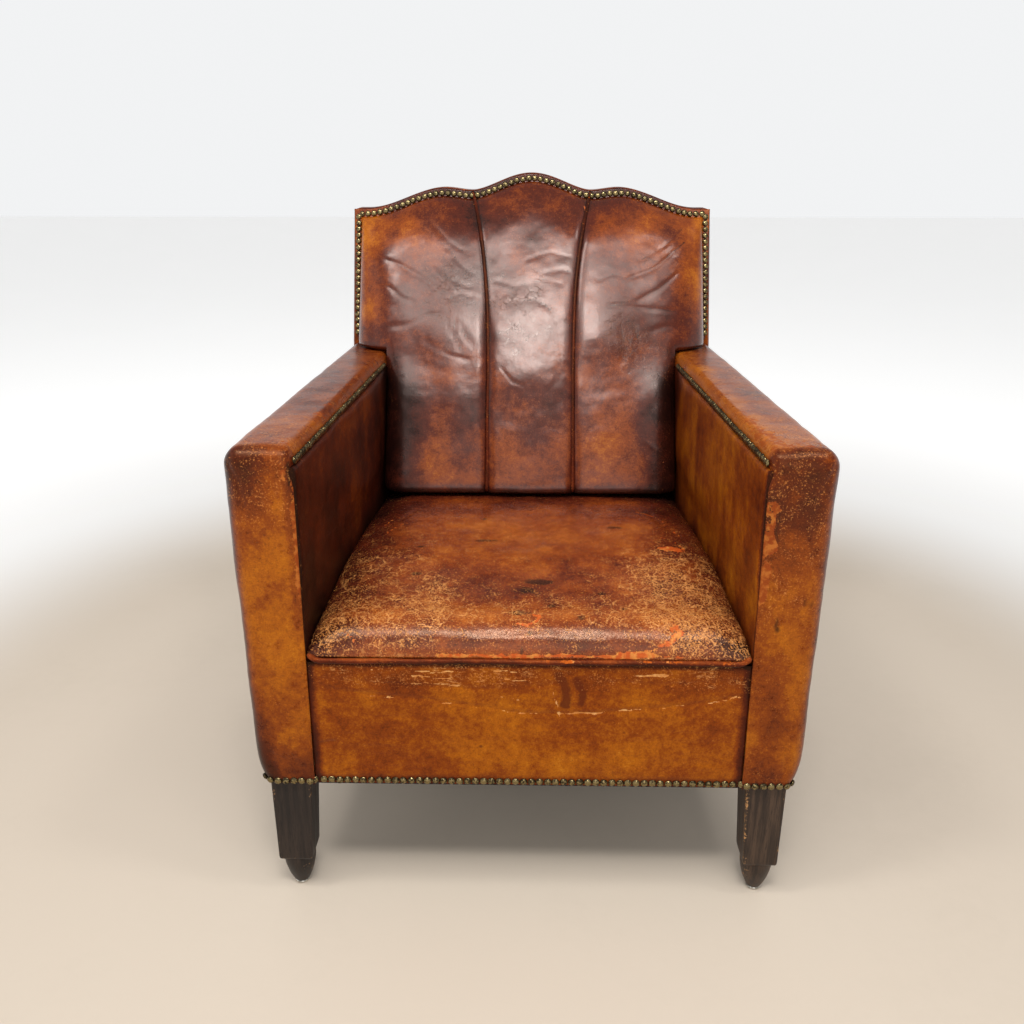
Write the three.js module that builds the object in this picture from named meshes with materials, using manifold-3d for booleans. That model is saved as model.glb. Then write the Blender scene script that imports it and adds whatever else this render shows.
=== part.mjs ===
// Club chair: a beech frame and coil-sprung seat under sheepskin covers, which are held by
// close-set brass nails. The inside back has three panels, joined by two welts under a humped top.
// Millimetres. +Z is up, +Y is to the back of the chair, X is across it.
import * as THREE from "three";
import { mergeVertices } from "three/addons/utils/BufferGeometryUtils.js";
import Module from "manifold-3d";

const wasm = await Module();
wasm.setup();

// ---- Driving dimensions ----------------------------------------------------------------------

const CHAIR_WIDTH = 700; // over the arms, at the front
const BODY_BOTTOM = 179; // lower edge of the upholstery
const LEATHER = 2.2; // hide with its lining
const GAP = 0.4; // left between pieces that touch
const NAIL_BAND = 9; // width of a row of nail heads
const NAIL_RISE = 2.6; // how far the heads stand off the leather

const ARM_TOP = 629;
const ARM_WIDTH = 82.5; // at the top
const ARM_FOOT = 76; // width at the bottom
const ARM_TAPER = 0.0525; // each arm runs in by this much for each mm back
const ARM_REAR = 662; // where the arm's top meets the back
const ARM_EDGE = 12; // rounding of the front edges
const ARM_NAILS = 614; // height of the nail row on the inside of the arm
const ARM_NAILS_END = 526;

const BACK_LEAN = 0.195; // how far the back runs to the rear for each mm up
const BACK_DEPTH = 45; // of the frame behind the inside back
const BACK_BORDER = 15; // flat edge that carries the nails
const BACK_HALF_TOP = 308;
const CORNER_HEIGHT = 850;
const DIP_HEIGHT = 879.5; // where the welts meet the top
const DIP_AT = 102;
const HUMP_RISE = 28;
const SIDE_HUMP_AT = 150;
const SIDE_HUMP_RISE = 4.5;
const SHOULDER_AT = 285;
const PAD_HALF = 236; // of the inside back between the arms
const PAD_HALF_REAR = 231;
const PAD_BOTTOM = 424;
const PAD_STEP = [631, 640]; // where the inside back steps out over the arms

const SEAT_FRONT = 4; // the seat's edge behind the arms' front plane
const SEAT_REAR = 486;
const SEAT_EDGE = 366; // height of the seat's front edge, over the welt
const BAND_FRONT = 4.5; // the front band's face behind the arms' front plane
const BAND_TOP = 357;
const WELT_RADIUS = 3.5;

const LEG_TOP = 178.7;
const LEG_SIZE = 52;
const LEG_TOE_SIZE = 45.3; // square section at the turned toe
const TOE_TOP = 52;
const TENON_RADIUS = 11;
const TENON_TOP = 214;

// ---- Finishes --------------------------------------------------------------------------------

const finish = (color, roughness, metalness = 0) =>
  new THREE.MeshStandardMaterial({ color, roughness, metalness });

const FINISH = {
  leather: finish(0x8a4a22, 0.5),
  seatLeather: finish(0x74401f, 0.5),
  welt: finish(0x3a1c12, 0.6),
  beech: finish(0xc9a072, 0.7),
  leg: finish(0x33261f, 0.45),
  steel: finish(0x8a8c90, 0.35, 1),
  nickel: finish(0xc8c8c4, 0.25, 1),
  brass: finish(0x7c6534, 0.35, 1),
  jute: finish(0xa88d62, 0.95),
  fibre: finish(0x6b5a48, 1),
  cambric: finish(0x1c1a1a, 0.95),
};

// ---- Mesh tools ------------------------------------------------------------------------------

const mix = (low, high, t) => low + (high - low) * t;
const clamp01 = (t) => Math.min(Math.max(t, 0), 1);
const steps = (low, high, count) =>
  Array.from({ length: count + 1 }, (_, i) => mix(low, high, i / count));

// 0 to 1, level at both ends.
const smooth = (t) => clamp01(t) ** 2 * (3 - 2 * clamp01(t));

// 0 to 1 along a quarter circle: steep first, level at the end.
const round = (t) => Math.sqrt(1 - (1 - clamp01(t)) ** 2);

// A closed geometry with shared corners, its faces turned outwards.
function closed(geometry) {
  const bare = geometry.clone();
  bare.deleteAttribute("normal");
  bare.deleteAttribute("uv");
  const merged = mergeVertices(bare, 1e-3);
  const corner = merged.getAttribute("position");
  const index = merged.index.array;
  const [a, b, c] = [0, 1, 2].map(() => new THREE.Vector3());
  let volume = 0;
  for (let i = 0; i < index.length; i += 3) {
    a.fromBufferAttribute(corner, index[i]);
    b.fromBufferAttribute(corner, index[i + 1]);
    c.fromBufferAttribute(corner, index[i + 2]);
    volume += a.dot(b.cross(c));
  }
  for (let i = 0; volume < 0 && i < index.length; i += 3)
    [index[i + 1], index[i + 2]] = [index[i + 2], index[i + 1]];
  return merged;
}

function solidOf(geometry) {
  const merged = closed(geometry);
  return new wasm.Manifold(
    new wasm.Mesh({
      numProp: 3,
      vertProperties: new Float32Array(merged.getAttribute("position").array),
      triVerts: new Uint32Array(merged.index.array),
    }),
  );
}

function geometryOf(solid) {
  const mesh = solid.getMesh();
  const corners = new Float32Array(mesh.numVert * 3);
  for (let i = 0; i < mesh.numVert; i++)
    corners.set(
      mesh.vertProperties.subarray(i * mesh.numProp, i * mesh.numProp + 3),
      i * 3,
    );
  return new THREE.BufferGeometry()
    .setAttribute("position", new THREE.BufferAttribute(corners, 3))
    .setIndex(new THREE.BufferAttribute(mesh.triVerts, 1));
}

const combine = (how) => (first, ...rest) =>
  geometryOf(rest.reduce((body, next) => body[how](solidOf(next)), solidOf(first)));
const join = combine("add");
const cut = combine("subtract");
const overlapOf = combine("intersect");

// A box from its low and high values along each axis.
function box([x0, x1], [y0, y1], [z0, z1]) {
  return new THREE.BoxGeometry(x1 - x0, y1 - y0, z1 - z0).translate(
    (x0 + x1) / 2,
    (y0 + y1) / 2,
    (z0 + z1) / 2,
  );
}

// A vertical rod from its centre, radius and ends.
function rod(x, y, radius, z0, z1) {
  return new THREE.CylinderGeometry(radius, radius, z1 - z0, 16)
    .rotateX(Math.PI / 2)
    .translate(x, y, (z0 + z1) / 2);
}

// An outline in the XZ plane, drawn out along Y.
function prism(outline, [y0, y1]) {
  const shape = new THREE.Shape(outline.map(([x, z]) => new THREE.Vector2(x, z)));
  return new THREE.ExtrudeGeometry(shape, { depth: y1 - y0, bevelEnabled: false })
    .rotateX(Math.PI / 2)
    .translate(0, y1, 0);
}

// An outline in the XY plane, drawn up along Z. A hole is listed the same way round as the outline.
function plate(outline, [z0, z1], holes = []) {
  const points = (list) => list.map(([x, y]) => new THREE.Vector2(x, y));
  const shape = new THREE.Shape(points(outline));
  shape.holes = holes.map((hole) => new THREE.Path(points(hole).reverse()));
  return new THREE.ExtrudeGeometry(shape, {
    depth: z1 - z0,
    bevelEnabled: false,
  }).translate(0, 0, z0);
}

// A closed skin over rings that have the same number of corners. The ends fan out from the first
// corner, so it is one that sees all the others.
function loft(rings) {
  const size = rings[0].length;
  const corners = rings.flat(2);
  const faces = [];
  for (let r = 0; r + 1 < rings.length; r++)
    for (let i = 0; i < size; i++) {
      const a = r * size + i;
      const b = r * size + ((i + 1) % size);
      faces.push(a, b, a + size, b, b + size, a + size);
    }
  const last = (rings.length - 1) * size;
  for (let i = 1; i + 1 < size; i++)
    faces.push(0, i + 1, i, last, last + i, last + i + 1);
  return new THREE.BufferGeometry()
    .setAttribute("position", new THREE.Float32BufferAttribute(corners, 3))
    .setIndex(faces);
}

// The solid between two surfaces over one grid of u and v.
function between(us, vs, near, far) {
  const corners = [near, far].flatMap((side) => vs.flatMap((v) => us.map((u) => side(u, v))));
  const [wide, high] = [us.length, vs.length];
  const other = wide * high;
  const at = (i, j) => j * wide + i;
  const faces = [];
  for (let j = 0; j + 1 < high; j++)
    for (let i = 0; i + 1 < wide; i++) {
      const [a, b, c, d] = [at(i, j), at(i + 1, j), at(i + 1, j + 1), at(i, j + 1)];
      faces.push(a, b, c, a, c, d);
      faces.push(other + a, other + c, other + b, other + a, other + d, other + c);
    }
  const wall = (a, b) => faces.push(a, other + a, b, b, other + a, other + b);
  for (let i = 0; i + 1 < wide; i++) {
    wall(at(i, 0), at(i + 1, 0));
    wall(at(i + 1, high - 1), at(i, high - 1));
  }
  for (let j = 0; j + 1 < high; j++) {
    wall(at(0, j + 1), at(0, j));
    wall(at(wide - 1, j), at(wide - 1, j + 1));
  }
  return new THREE.BufferGeometry()
    .setAttribute("position", new THREE.Float32BufferAttribute(corners.flat(), 3))
    .setIndex(faces);
}

// A surface moved by a depth against its normal.
function inside(surface, depth) {
  const STEP = 1e-3;
  return (u, v) => {
    const here = new THREE.Vector3(...surface(u, v));
    const along = new THREE.Vector3(...surface(u + STEP, v)).sub(
      new THREE.Vector3(...surface(u - STEP, v)),
    );
    const up = new THREE.Vector3(...surface(u, v + STEP)).sub(
      new THREE.Vector3(...surface(u, v - STEP)),
    );
    return here.addScaledVector(along.cross(up).normalize(), -depth).toArray();
  };
}

// A round bar along a list of points.
function bar(points, radius, sides, count) {
  const ring = steps(0, 2 * Math.PI, sides)
    .slice(0, -1)
    .map((angle) => new THREE.Vector2(radius * Math.cos(angle), radius * Math.sin(angle)));
  return new THREE.ExtrudeGeometry(new THREE.Shape(ring), {
    steps: count,
    extrudePath: new THREE.CatmullRomCurve3(points.map((p) => new THREE.Vector3(...p))),
  });
}

// ---- Scene graph -----------------------------------------------------------------------------

const chair = new THREE.Group();
const leftSide = new THREE.Group();
const rightSide = new THREE.Group();
rightSide.scale.x = -1;
chair.add(leftSide, rightSide);

function add(name, material, geometry, group = chair) {
  const mesh = new THREE.Mesh(closed(geometry), FINISH[material]);
  mesh.name = name;
  group.add(mesh);
}

// The same piece on both sides, mirrored on the right.
function addPair(name, material, geometry) {
  add(`${name}_left`, material, geometry, leftSide);
  add(`${name}_right`, material, geometry, rightSide);
}

// Arm pieces are drawn with X counted inwards from the arm's outer face.
const armPlace = new THREE.Matrix4()
  .makeTranslation(-CHAIR_WIDTH / 2, 0, 0)
  .multiply(new THREE.Matrix4().makeShear(0, 0, ARM_TAPER, 0, 0, 0));
const inArm = (geometry) => geometry.clone().applyMatrix4(armPlace);

// Back pieces are drawn upright, with Y counted from the back's front plane.
const backPlace = new THREE.Matrix4()
  .makeTranslation(0, ARM_REAR - BACK_LEAN * ARM_TOP, 0)
  .multiply(new THREE.Matrix4().makeShear(0, 0, 0, 0, 0, BACK_LEAN));
const inBack = (geometry) => geometry.clone().applyMatrix4(backPlace);

// ---- Outlines of the back --------------------------------------------------------------------

const backPlane = (z) => ARM_REAR + BACK_LEAN * (z - ARM_TOP);

// Height of the humped top edge.
function crestHeight(x) {
  const out = Math.abs(x);
  if (out < DIP_AT)
    return DIP_HEIGHT + HUMP_RISE * ((1 + Math.cos((Math.PI * out) / DIP_AT)) / 2) ** 0.8;
  const sidePeak = DIP_HEIGHT + SIDE_HUMP_RISE;
  if (out < SIDE_HUMP_AT)
    return mix(DIP_HEIGHT, sidePeak, smooth((out - DIP_AT) / (SIDE_HUMP_AT - DIP_AT)));
  const fall = smooth((out - SIDE_HUMP_AT) / (SHOULDER_AT - SIDE_HUMP_AT));
  return mix(sidePeak, CORNER_HEIGHT, fall);
}

// Half the back's width at a height: it tucks in at the bottom edge.
function backHalf(z) {
  const TUCK = 7;
  const armHalf = CHAIR_WIDTH / 2 - ARM_TAPER * backPlane(Math.min(z, ARM_TOP));
  const rise = clamp01((z - ARM_TOP) / (CORNER_HEIGHT - ARM_TOP));
  return mix(armHalf, BACK_HALF_TOP, rise) - TUCK * (1 - smooth((z - BODY_BOTTOM) / 50));
}

// The back's outline from the front, moved in by an inset.
function backOutline(inset, bottom) {
  const CORNER = 6;
  const edge = [bottom, BODY_BOTTOM + 25, BODY_BOTTOM + 50, ARM_TOP, CORNER_HEIGHT - CORNER - inset];
  const right = edge.map((z) => [backHalf(z) - inset, z]);
  const reach = BACK_HALF_TOP - CORNER - inset;
  const top = steps(reach, -reach, 36).map((x) => [x, crestHeight(x) - inset]);
  return [...right, ...top, ...right.map(([x, z]) => [-x, z]).reverse()];
}

// ---- The inside back's front surface ---------------------------------------------------------

// How far the stuffed back stands in front of its border.
function backSwell(x, z) {
  const out = Math.abs(x);
  const full = 188 - 0.36 * (z - PAD_BOTTOM);
  const low = full - 35 * (1 - round((PAD_HALF - out) / 35));
  const high = full * round((backHalf(z) - BACK_BORDER - out) / 75);
  const top = round((crestHeight(x) - BACK_BORDER - z) / 70);
  return mix(low, high, smooth((z - 606) / 24)) * top;
}

const seamAt = (z) => 70 + 32 * clamp01((z - 600) / 280) ** 2.6;
const insideBack = (x, z) => backPlane(z) - LEATHER - GAP - backSwell(x, z);

// A point at a depth behind the front surface, measured square to it.
function backPoint(x, z, depth = 0) {
  const STEP = 0.5;
  const slopeX = (insideBack(x + STEP, z) - insideBack(x - STEP, z)) / (2 * STEP);
  const slopeZ = (insideBack(x, z + STEP) - insideBack(x, z - STEP)) / (2 * STEP);
  const share = depth / Math.hypot(slopeX, 1, slopeZ);
  return [x - slopeX * share, insideBack(x, z) + share, z - slopeZ * share];
}

// Rows of the inside back, by height up to the step and by share of what is left above it. A row
// over 1 is the flat border, and so is a column over 1.
const STEP_ROWS = [0.486, 0.507];
const BACK_ROWS = [0, 0.16, 0.32, ...STEP_ROWS, 0.6, 0.7, 0.8, 0.88, 0.93, 0.97, 1, 1.01];

function rowHeight(v, x, topInset) {
  if (v <= STEP_ROWS[0]) return mix(PAD_BOTTOM, PAD_STEP[0], v / STEP_ROWS[0]);
  if (v > 1) return crestHeight(x) - topInset;
  const share = clamp01((v - STEP_ROWS[1]) / (1 - STEP_ROWS[1]));
  return mix(PAD_STEP[1], crestHeight(x) - BACK_BORDER, share);
}

// The height of a row near the back's corners, which sets where its edges are.
const edgeHeight = (v) => rowHeight(v, BACK_HALF_TOP, 0);

// The outer edge of the inside back: inside the arms, then on the border over them.
const skirt = (inset, stepRow) => (v) => (v < stepRow ? PAD_HALF : backHalf(edgeHeight(v)) - inset);

// A patch of the inside back between two edges, which are functions of the row.
const backPatch = (innerEdge, borderEdge, outerEdge, topInset) => (depth) => (u, v) => {
  const x = u > 1 ? outerEdge(v) : mix(innerEdge(v), borderEdge(v), u);
  return backPoint(x, rowHeight(v, x, topInset), depth);
};

// ---- Arms ------------------------------------------------------------------------------------

const armInner = (z) => mix(ARM_FOOT, ARM_WIDTH, (z - BODY_BOTTOM) / (ARM_TOP - BODY_BOTTOM));

// A section of the arm, moved in by an inset. The outer side tucks under at the bottom.
function armSection(y, inset, bottom) {
  const [TUCK, TUCK_RISE, OUTER, INNER] = [19, 50, 24, 14];
  const arc = (x, z, rx, rz, from, to) =>
    steps(from, to, 4).map((turn) => [
      x + rx * Math.cos(turn * Math.PI),
      y,
      z + rz * Math.sin(turn * Math.PI),
    ]);
  const outer = OUTER - inset;
  const inner = Math.max(INNER - inset, 2);
  const top = ARM_TOP - inset;
  const side = ARM_WIDTH - inset;
  return [
    ...arc(side - inner, top - inner, inner, inner, 0.5, 0),
    [ARM_FOOT - inset, y, bottom],
    [inset + TUCK, y, bottom],
    ...arc(inset + TUCK, BODY_BOTTOM + TUCK_RISE, TUCK, TUCK_RISE - 1, 1.5, 1),
    ...arc(inset + outer, top - outer, outer, outer, 1, 0.5),
  ];
}

// The arm's whole form from front to rear, with its front edges rounded.
function armForm(inset, bottom, front) {
  const edge = Math.max(ARM_EDGE - inset, 1);
  const rounded = steps(0, 0.5, 4).map((turn) =>
    armSection(
      front + edge * (1 - Math.sin(turn * Math.PI)),
      inset + edge * (1 - Math.cos(turn * Math.PI)),
      bottom,
    ),
  );
  return loft([...rounded.reverse(), armSection(backPlane(ARM_TOP) + 100, inset, bottom)]);
}

function buildArms() {
  const behindArm = inBack(box([-100, 400], [-0.6, 300], [0, 1000]));
  const openInside = box([40, 130], [LEATHER, 900], [50, ARM_NAILS - NAIL_BAND / 2 - 1.5]);
  const lining = armForm(LEATHER, BODY_BOTTOM - 60, LEATHER);
  const wrap = cut(armForm(0, BODY_BOTTOM, 0), lining, openInside, behindArm);
  addPair("arm_cover", "leather", inArm(wrap));

  const panelTop = ARM_NAILS - NAIL_BAND / 2 - 2;
  const panelBottom = BAND_TOP + 7;
  const panel = prism(
    [
      [armInner(panelBottom) - LEATHER, panelBottom],
      [armInner(panelBottom), panelBottom],
      [armInner(panelTop), panelTop],
      [armInner(panelTop) - LEATHER, panelTop],
    ],
    [LEATHER + GAP, 600],
  );
  addPair("inside_arm_panel", "leather", inArm(panel));

  const railTop = 604;
  const behindPanel = LEATHER + GAP;
  const stuffing = join(
    overlapOf(
      armForm(LEATHER + 0.6, BODY_BOTTOM - 60, LEATHER + GAP),
      box([-10, 120], [0, 654], [railTop + GAP, 700]),
    ),
    prism(
      [
        [64.4, panelBottom + 2],
        [armInner(panelBottom + 2) - behindPanel, panelBottom + 2],
        [armInner(railTop + 2) - behindPanel, railTop + 2],
        [64.4, railTop + 2],
      ],
      [60, 596],
    ),
  );
  addPair("arm_padding", "fibre", inArm(stuffing));

  const nails = box(
    [ARM_WIDTH + 0.3, ARM_WIDTH + 0.3 + NAIL_RISE],
    [9, ARM_NAILS_END],
    [ARM_NAILS - NAIL_BAND / 2, ARM_NAILS + NAIL_BAND / 2],
  );
  addPair("arm_nail_row", "brass", inArm(nails));

  const post = cut(
    inArm(box([22, 62], [14, 58], [BODY_BOTTOM + 0.3, railTop])),
    rod(...LEG_CENTRE, TENON_RADIUS + GAP, BODY_BOTTOM - 5, TENON_TOP + 2),
  );
  addPair("arm_post", "beech", post);
  addPair("arm_rail", "beech", inArm(box([14, 64], [58.4, 653], [580, railTop])));
  addPair("arm_stuffing_rail", "beech", inArm(box([50, 74], [58.4, 600], [330, 362])));
}

// ---- Seat ------------------------------------------------------------------------------------

const seatHalf = (y) => CHAIR_WIDTH / 2 - armInner(390) - ARM_TAPER * y - 1;

// The seat's top surface: round at the front, crowned, and lower along the arms.
function seatTop(u, v) {
  const y = mix(SEAT_FRONT, SEAT_REAR, v);
  const x = u * seatHalf(y);
  const middle =
    SEAT_EDGE + 42 * round((y - SEAT_FRONT) / 50) + 16 * smooth((y - 40) / 180) - 8 * smooth((y - 300) / 180);
  const drop = 24 * (1 - round((seatHalf(y) - Math.abs(x)) / 60)) + 4 * u * u;
  return [x, y, middle - drop * clamp01((middle - SEAT_EDGE) / 40)];
}

const SEAT_COLUMNS = [-1, -0.96, -0.88, -0.75, -0.4, 0, 0.4, 0.75, 0.88, 0.96, 1];
const SEAT_ROWS = [0, 0.008, 0.025, 0.055, 0.104, 0.2, 0.32, 0.5, 0.7, 0.85, 1];

function buildSeat() {
  const RAIL_TOP = 302;
  const DECK_RISE = 47;
  add("seat_cover", "seatLeather", between(SEAT_COLUMNS, SEAT_ROWS, seatTop, inside(seatTop, LEATHER)));

  // The deck is stretched over the springs and runs down to the rails all round.
  const deck = (lift) => (u, v) => {
    const y = mix(SEAT_FRONT + 5, SEAT_REAR, v);
    const across = u * (seatHalf(y) - 4);
    const clear = Math.min(
      1,
      (seatHalf(y) - 4 - Math.abs(across)) / 24,
      (y - SEAT_FRONT - 5) / 60,
      (SEAT_REAR - y) / 40,
    );
    return [across, y, RAIL_TOP + lift + DECK_RISE * smooth(clear)];
  };
  const HESSIAN = 1.5;
  const inner = inside(seatTop, LEATHER + GAP);
  const padTop = (u, v) => {
    const [, , z] = inner(u, v);
    const [x, y] = deck(0)(u, v);
    return [x, y, z - 2];
  };
  add("seat_padding", "fibre", between(SEAT_COLUMNS, SEAT_ROWS, padTop, deck(HESSIAN + GAP)));
  add("spring_hessian", "jute", between(SEAT_COLUMNS, SEAT_ROWS, deck(HESSIAN), deck(0)));

  const bandHalf = CHAIR_WIDTH / 2 - ARM_FOOT - 1;
  const band = box([-bandHalf, bandHalf], [BAND_FRONT, BAND_FRONT + LEATHER], [BODY_BOTTOM + 1, BAND_TOP]);
  add("front_band", "leather", band);

  const weltHalf = CHAIR_WIDTH / 2 - armInner(BAND_TOP) - 2.5;
  const weltHeight = (BAND_TOP + SEAT_EDGE) / 2;
  const weltPath = steps(-weltHalf, weltHalf, 6).map((x) => [x, 1.2, weltHeight]);
  add("seat_welt", "welt", bar(weltPath, WELT_RADIUS, 8, 12));

  buildSprings(RAIL_TOP + DECK_RISE - GAP);
}

class SpringLine extends THREE.Curve {
  // The wire of an hourglass coil spring.
  constructor(low, high) {
    super();
    Object.assign(this, { low, high });
  }

  getPoint(t) {
    const [END_RADIUS, WAIST, TURNS] = [44, 16, 4];
    const radius = END_RADIUS - WAIST * Math.sin(Math.PI * t);
    const angle = 2 * Math.PI * TURNS * t;
    return new THREE.Vector3(
      radius * Math.cos(angle),
      radius * Math.sin(angle),
      mix(this.low, this.high, t),
    );
  }
}

function buildSprings(top) {
  const WIRE = 2.2;
  const wireSection = steps(0, 2 * Math.PI, 5)
    .slice(0, -1)
    .map((angle) => new THREE.Vector2(WIRE * Math.cos(angle), WIRE * Math.sin(angle)));
  const spring = new THREE.ExtrudeGeometry(new THREE.Shape(wireSection), {
    steps: 40,
    extrudePath: new SpringLine(190.6, top - WIRE - 0.6),
  });
  const rows = { front: 165, rear: 390 };
  const columns = { left: -150, middle: 0, right: 150 };
  for (const [rowName, y] of Object.entries(rows))
    for (const [columnName, x] of Object.entries(columns)) {
      const place = new THREE.Group();
      place.position.set(x, y, 0);
      chair.add(place);
      add(`seat_spring_${rowName}_${columnName}`, "steel", spring, place);
    }
  for (const [columnName, x] of Object.entries(columns))
    add(`seat_webbing_${columnName}`, "jute", box([x - 25, x + 25], [16, 610], [185, 187]));
  for (const [rowName, y] of Object.entries(rows)) {
    const reach = CHAIR_WIDTH / 2 - 34 - ARM_TAPER * y;
    add(`seat_webbing_${rowName}`, "jute", box([-reach, reach], [y - 25, y + 25], [182.4, 184.4]));
  }
}

// ---- Back ------------------------------------------------------------------------------------

function buildBack() {
  const shell = cut(
    prism(backOutline(0, BODY_BOTTOM), [0, BACK_DEPTH]),
    prism(backOutline(LEATHER, BODY_BOTTOM - 40), [-10, BACK_DEPTH - LEATHER]),
  );
  add("outside_back_cover", "leather", inBack(shell));

  const seam = (v) => seamAt(edgeHeight(v) + (crestHeight(DIP_AT) - CORNER_HEIGHT) * smooth(v));
  const weltRadius = WELT_RADIUS - 0.9;
  const channel = weltRadius + 0.9;
  const sidePanel = backPatch(
    (v) => -seam(v) - channel,
    (v) => -skirt(BACK_BORDER, STEP_ROWS[1])(v) + (v < STEP_ROWS[1] ? 8 : 0),
    (v) => -skirt(1, STEP_ROWS[1])(v),
    1,
  );
  const sideColumns = [0, 0.25, 0.5, 0.68, 0.8, 0.88, 0.94, 1, 1.01];
  addPair(
    "inside_back_side_panel",
    "leather",
    between(sideColumns, BACK_ROWS, sidePanel(0), sidePanel(LEATHER)),
  );
  const middleEdge = (v) => seam(v) - channel;
  const middlePanel = backPatch((v) => -middleEdge(v), middleEdge, middleEdge, 1);
  add(
    "inside_back_middle_panel",
    "leather",
    between(steps(0, 1, 6), BACK_ROWS, middlePanel(0), middlePanel(LEATHER)),
  );

  const weltPath = [0.02, ...BACK_ROWS.slice(1, -2), 0.985].map((v) => {
    return backPoint(-seam(v), rowHeight(v, seam(v), 1), 0.4);
  });
  addPair("back_welt", "welt", bar(weltPath, weltRadius, 8, 24));

  const PAD_EDGE = BACK_BORDER + 8;
  const PAD_STEP_ROW = 0.55;
  const PAD_WAIST = 200;
  const padRows = BACK_ROWS.filter((v) => v <= 0.97).concat([PAD_STEP_ROW - 0.005, PAD_STEP_ROW + 0.02]);
  padRows.sort((a, b) => a - b);
  // The padding is waisted where the cover steps out over the arms.
  const waist = (v) => v > STEP_ROWS[0] - 0.01 && v < PAD_STEP_ROW;
  const padEdge = (v) => (waist(v) ? PAD_WAIST : skirt(PAD_EDGE, PAD_STEP_ROW)(v));
  const padFront = backPatch((v) => -padEdge(v), padEdge, padEdge, PAD_EDGE);
  const padRear = (u, v) => {
    const [x, , z] = padFront(0)(u, v);
    const narrow = v < PAD_STEP_ROW ? PAD_HALF_REAR / PAD_HALF : 1;
    return [x * narrow, backPlane(z) - 0.6, z];
  };
  const padColumns = [0, 0.04, 0.1, 0.2, 0.34, 0.5, 0.66, 0.8, 0.9, 0.96, 1];
  add(
    "back_padding",
    "fibre",
    between(padColumns, padRows, padFront(LEATHER + 3), padRear),
  );

  const nailEdge = (inset) => {
    const right = [ARM_TOP + 14, CORNER_HEIGHT - inset].map((z) => [backHalf(z) - inset, z]);
    const reach = BACK_HALF_TOP - inset;
    const top = steps(reach, -reach, 36).slice(1, -1);
    return [...right, ...top.map((x) => [x, crestHeight(x) - inset]), ...right.map(([x, z]) => [-x, z]).reverse()];
  };
  const nailRow = [...nailEdge(4.5), ...nailEdge(4.5 + NAIL_BAND).reverse()];
  const nailBase = -LEATHER - 2 * GAP;
  add("back_nail_row", "brass", inBack(prism(nailRow, [nailBase - NAIL_RISE, nailBase])));

  const post = cut(
    inBack(box([-304, -268], [3, 40], [BODY_BOTTOM + 0.3, CORNER_HEIGHT - 12])),
    rod(...REAR_LEG_CENTRE, TENON_RADIUS + GAP, BODY_BOTTOM - 5, TENON_TOP + 2),
  );
  addPair("back_post", "beech", post);
  const crestLine = steps(267.6, -267.6, 30).map((x) => [x, crestHeight(x) - 5]);
  add("back_crest_rail", "beech", inBack(prism([[-267.6, 800], [267.6, 800], ...crestLine], [6, 32])));
  add("back_lower_rail", "beech", inBack(box([-267.6, 267.6], [6, 32], [430, 480])));
}

// ---- Seat frame, legs and base ---------------------------------------------------------------

const LEG_CENTRE = [-307, 32];
const REAR_LEG_CENTRE = [-286, 596];

function buildSeatFrame() {
  const [RAIL_LOW, RAIL_HIGH] = [188, 300];
  add("seat_rail_front", "beech", box([-284, 284], [14, 40], [RAIL_LOW, RAIL_HIGH]));
  add("seat_rail_rear", "beech", box([-267.6, 267.6], [590, 612], [RAIL_LOW, RAIL_HIGH - 8]));
  addPair("seat_rail_side", "beech", inArm(box([30, 58], [58.4, 574], [RAIL_LOW, RAIL_HIGH - 10])));
  const frontBlock = [[-284, 40.6], [-226, 40.6], [-284, 98]];
  const rearBlock = [[-261, 589.4], [-261, 530], [-203, 589.4]];
  addPair("corner_block_front", "beech", plate(frontBlock, [206, 276]));
  addPair("corner_block_rear", "beech", plate(rearBlock, [206, 276]));
}

// A tapered square leg between two sections, with a tenon on its top.
function legBody(topCorner, topSize, lowCorner, lowSize, low, tenon) {
  const ring = ([x, y], size, z) => [
    [x, y, z],
    [x + size, y, z],
    [x + size, y + size, z],
    [x, y + size, z],
  ];
  return join(
    loft([ring(lowCorner, lowSize, low), ring(topCorner, topSize, LEG_TOP)]),
    rod(...tenon, TENON_RADIUS, LEG_TOP - 5, TENON_TOP),
  );
}

// A turned piece from its profile of radius and height.
function turned(profile, [x, y], sides) {
  return new THREE.LatheGeometry(profile.map(([r, z]) => new THREE.Vector2(r, z)), sides)
    .rotateX(Math.PI / 2)
    .translate(x, y, 0);
}

const GLIDE = [[0, 0], [7, 0], [9.4, 1.2], [10, 2.8], [9.4, 4.6], [2, 4.6], [2, 15], [0, 15]];
const NAIL_BORE = [2.5, 17];

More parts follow.
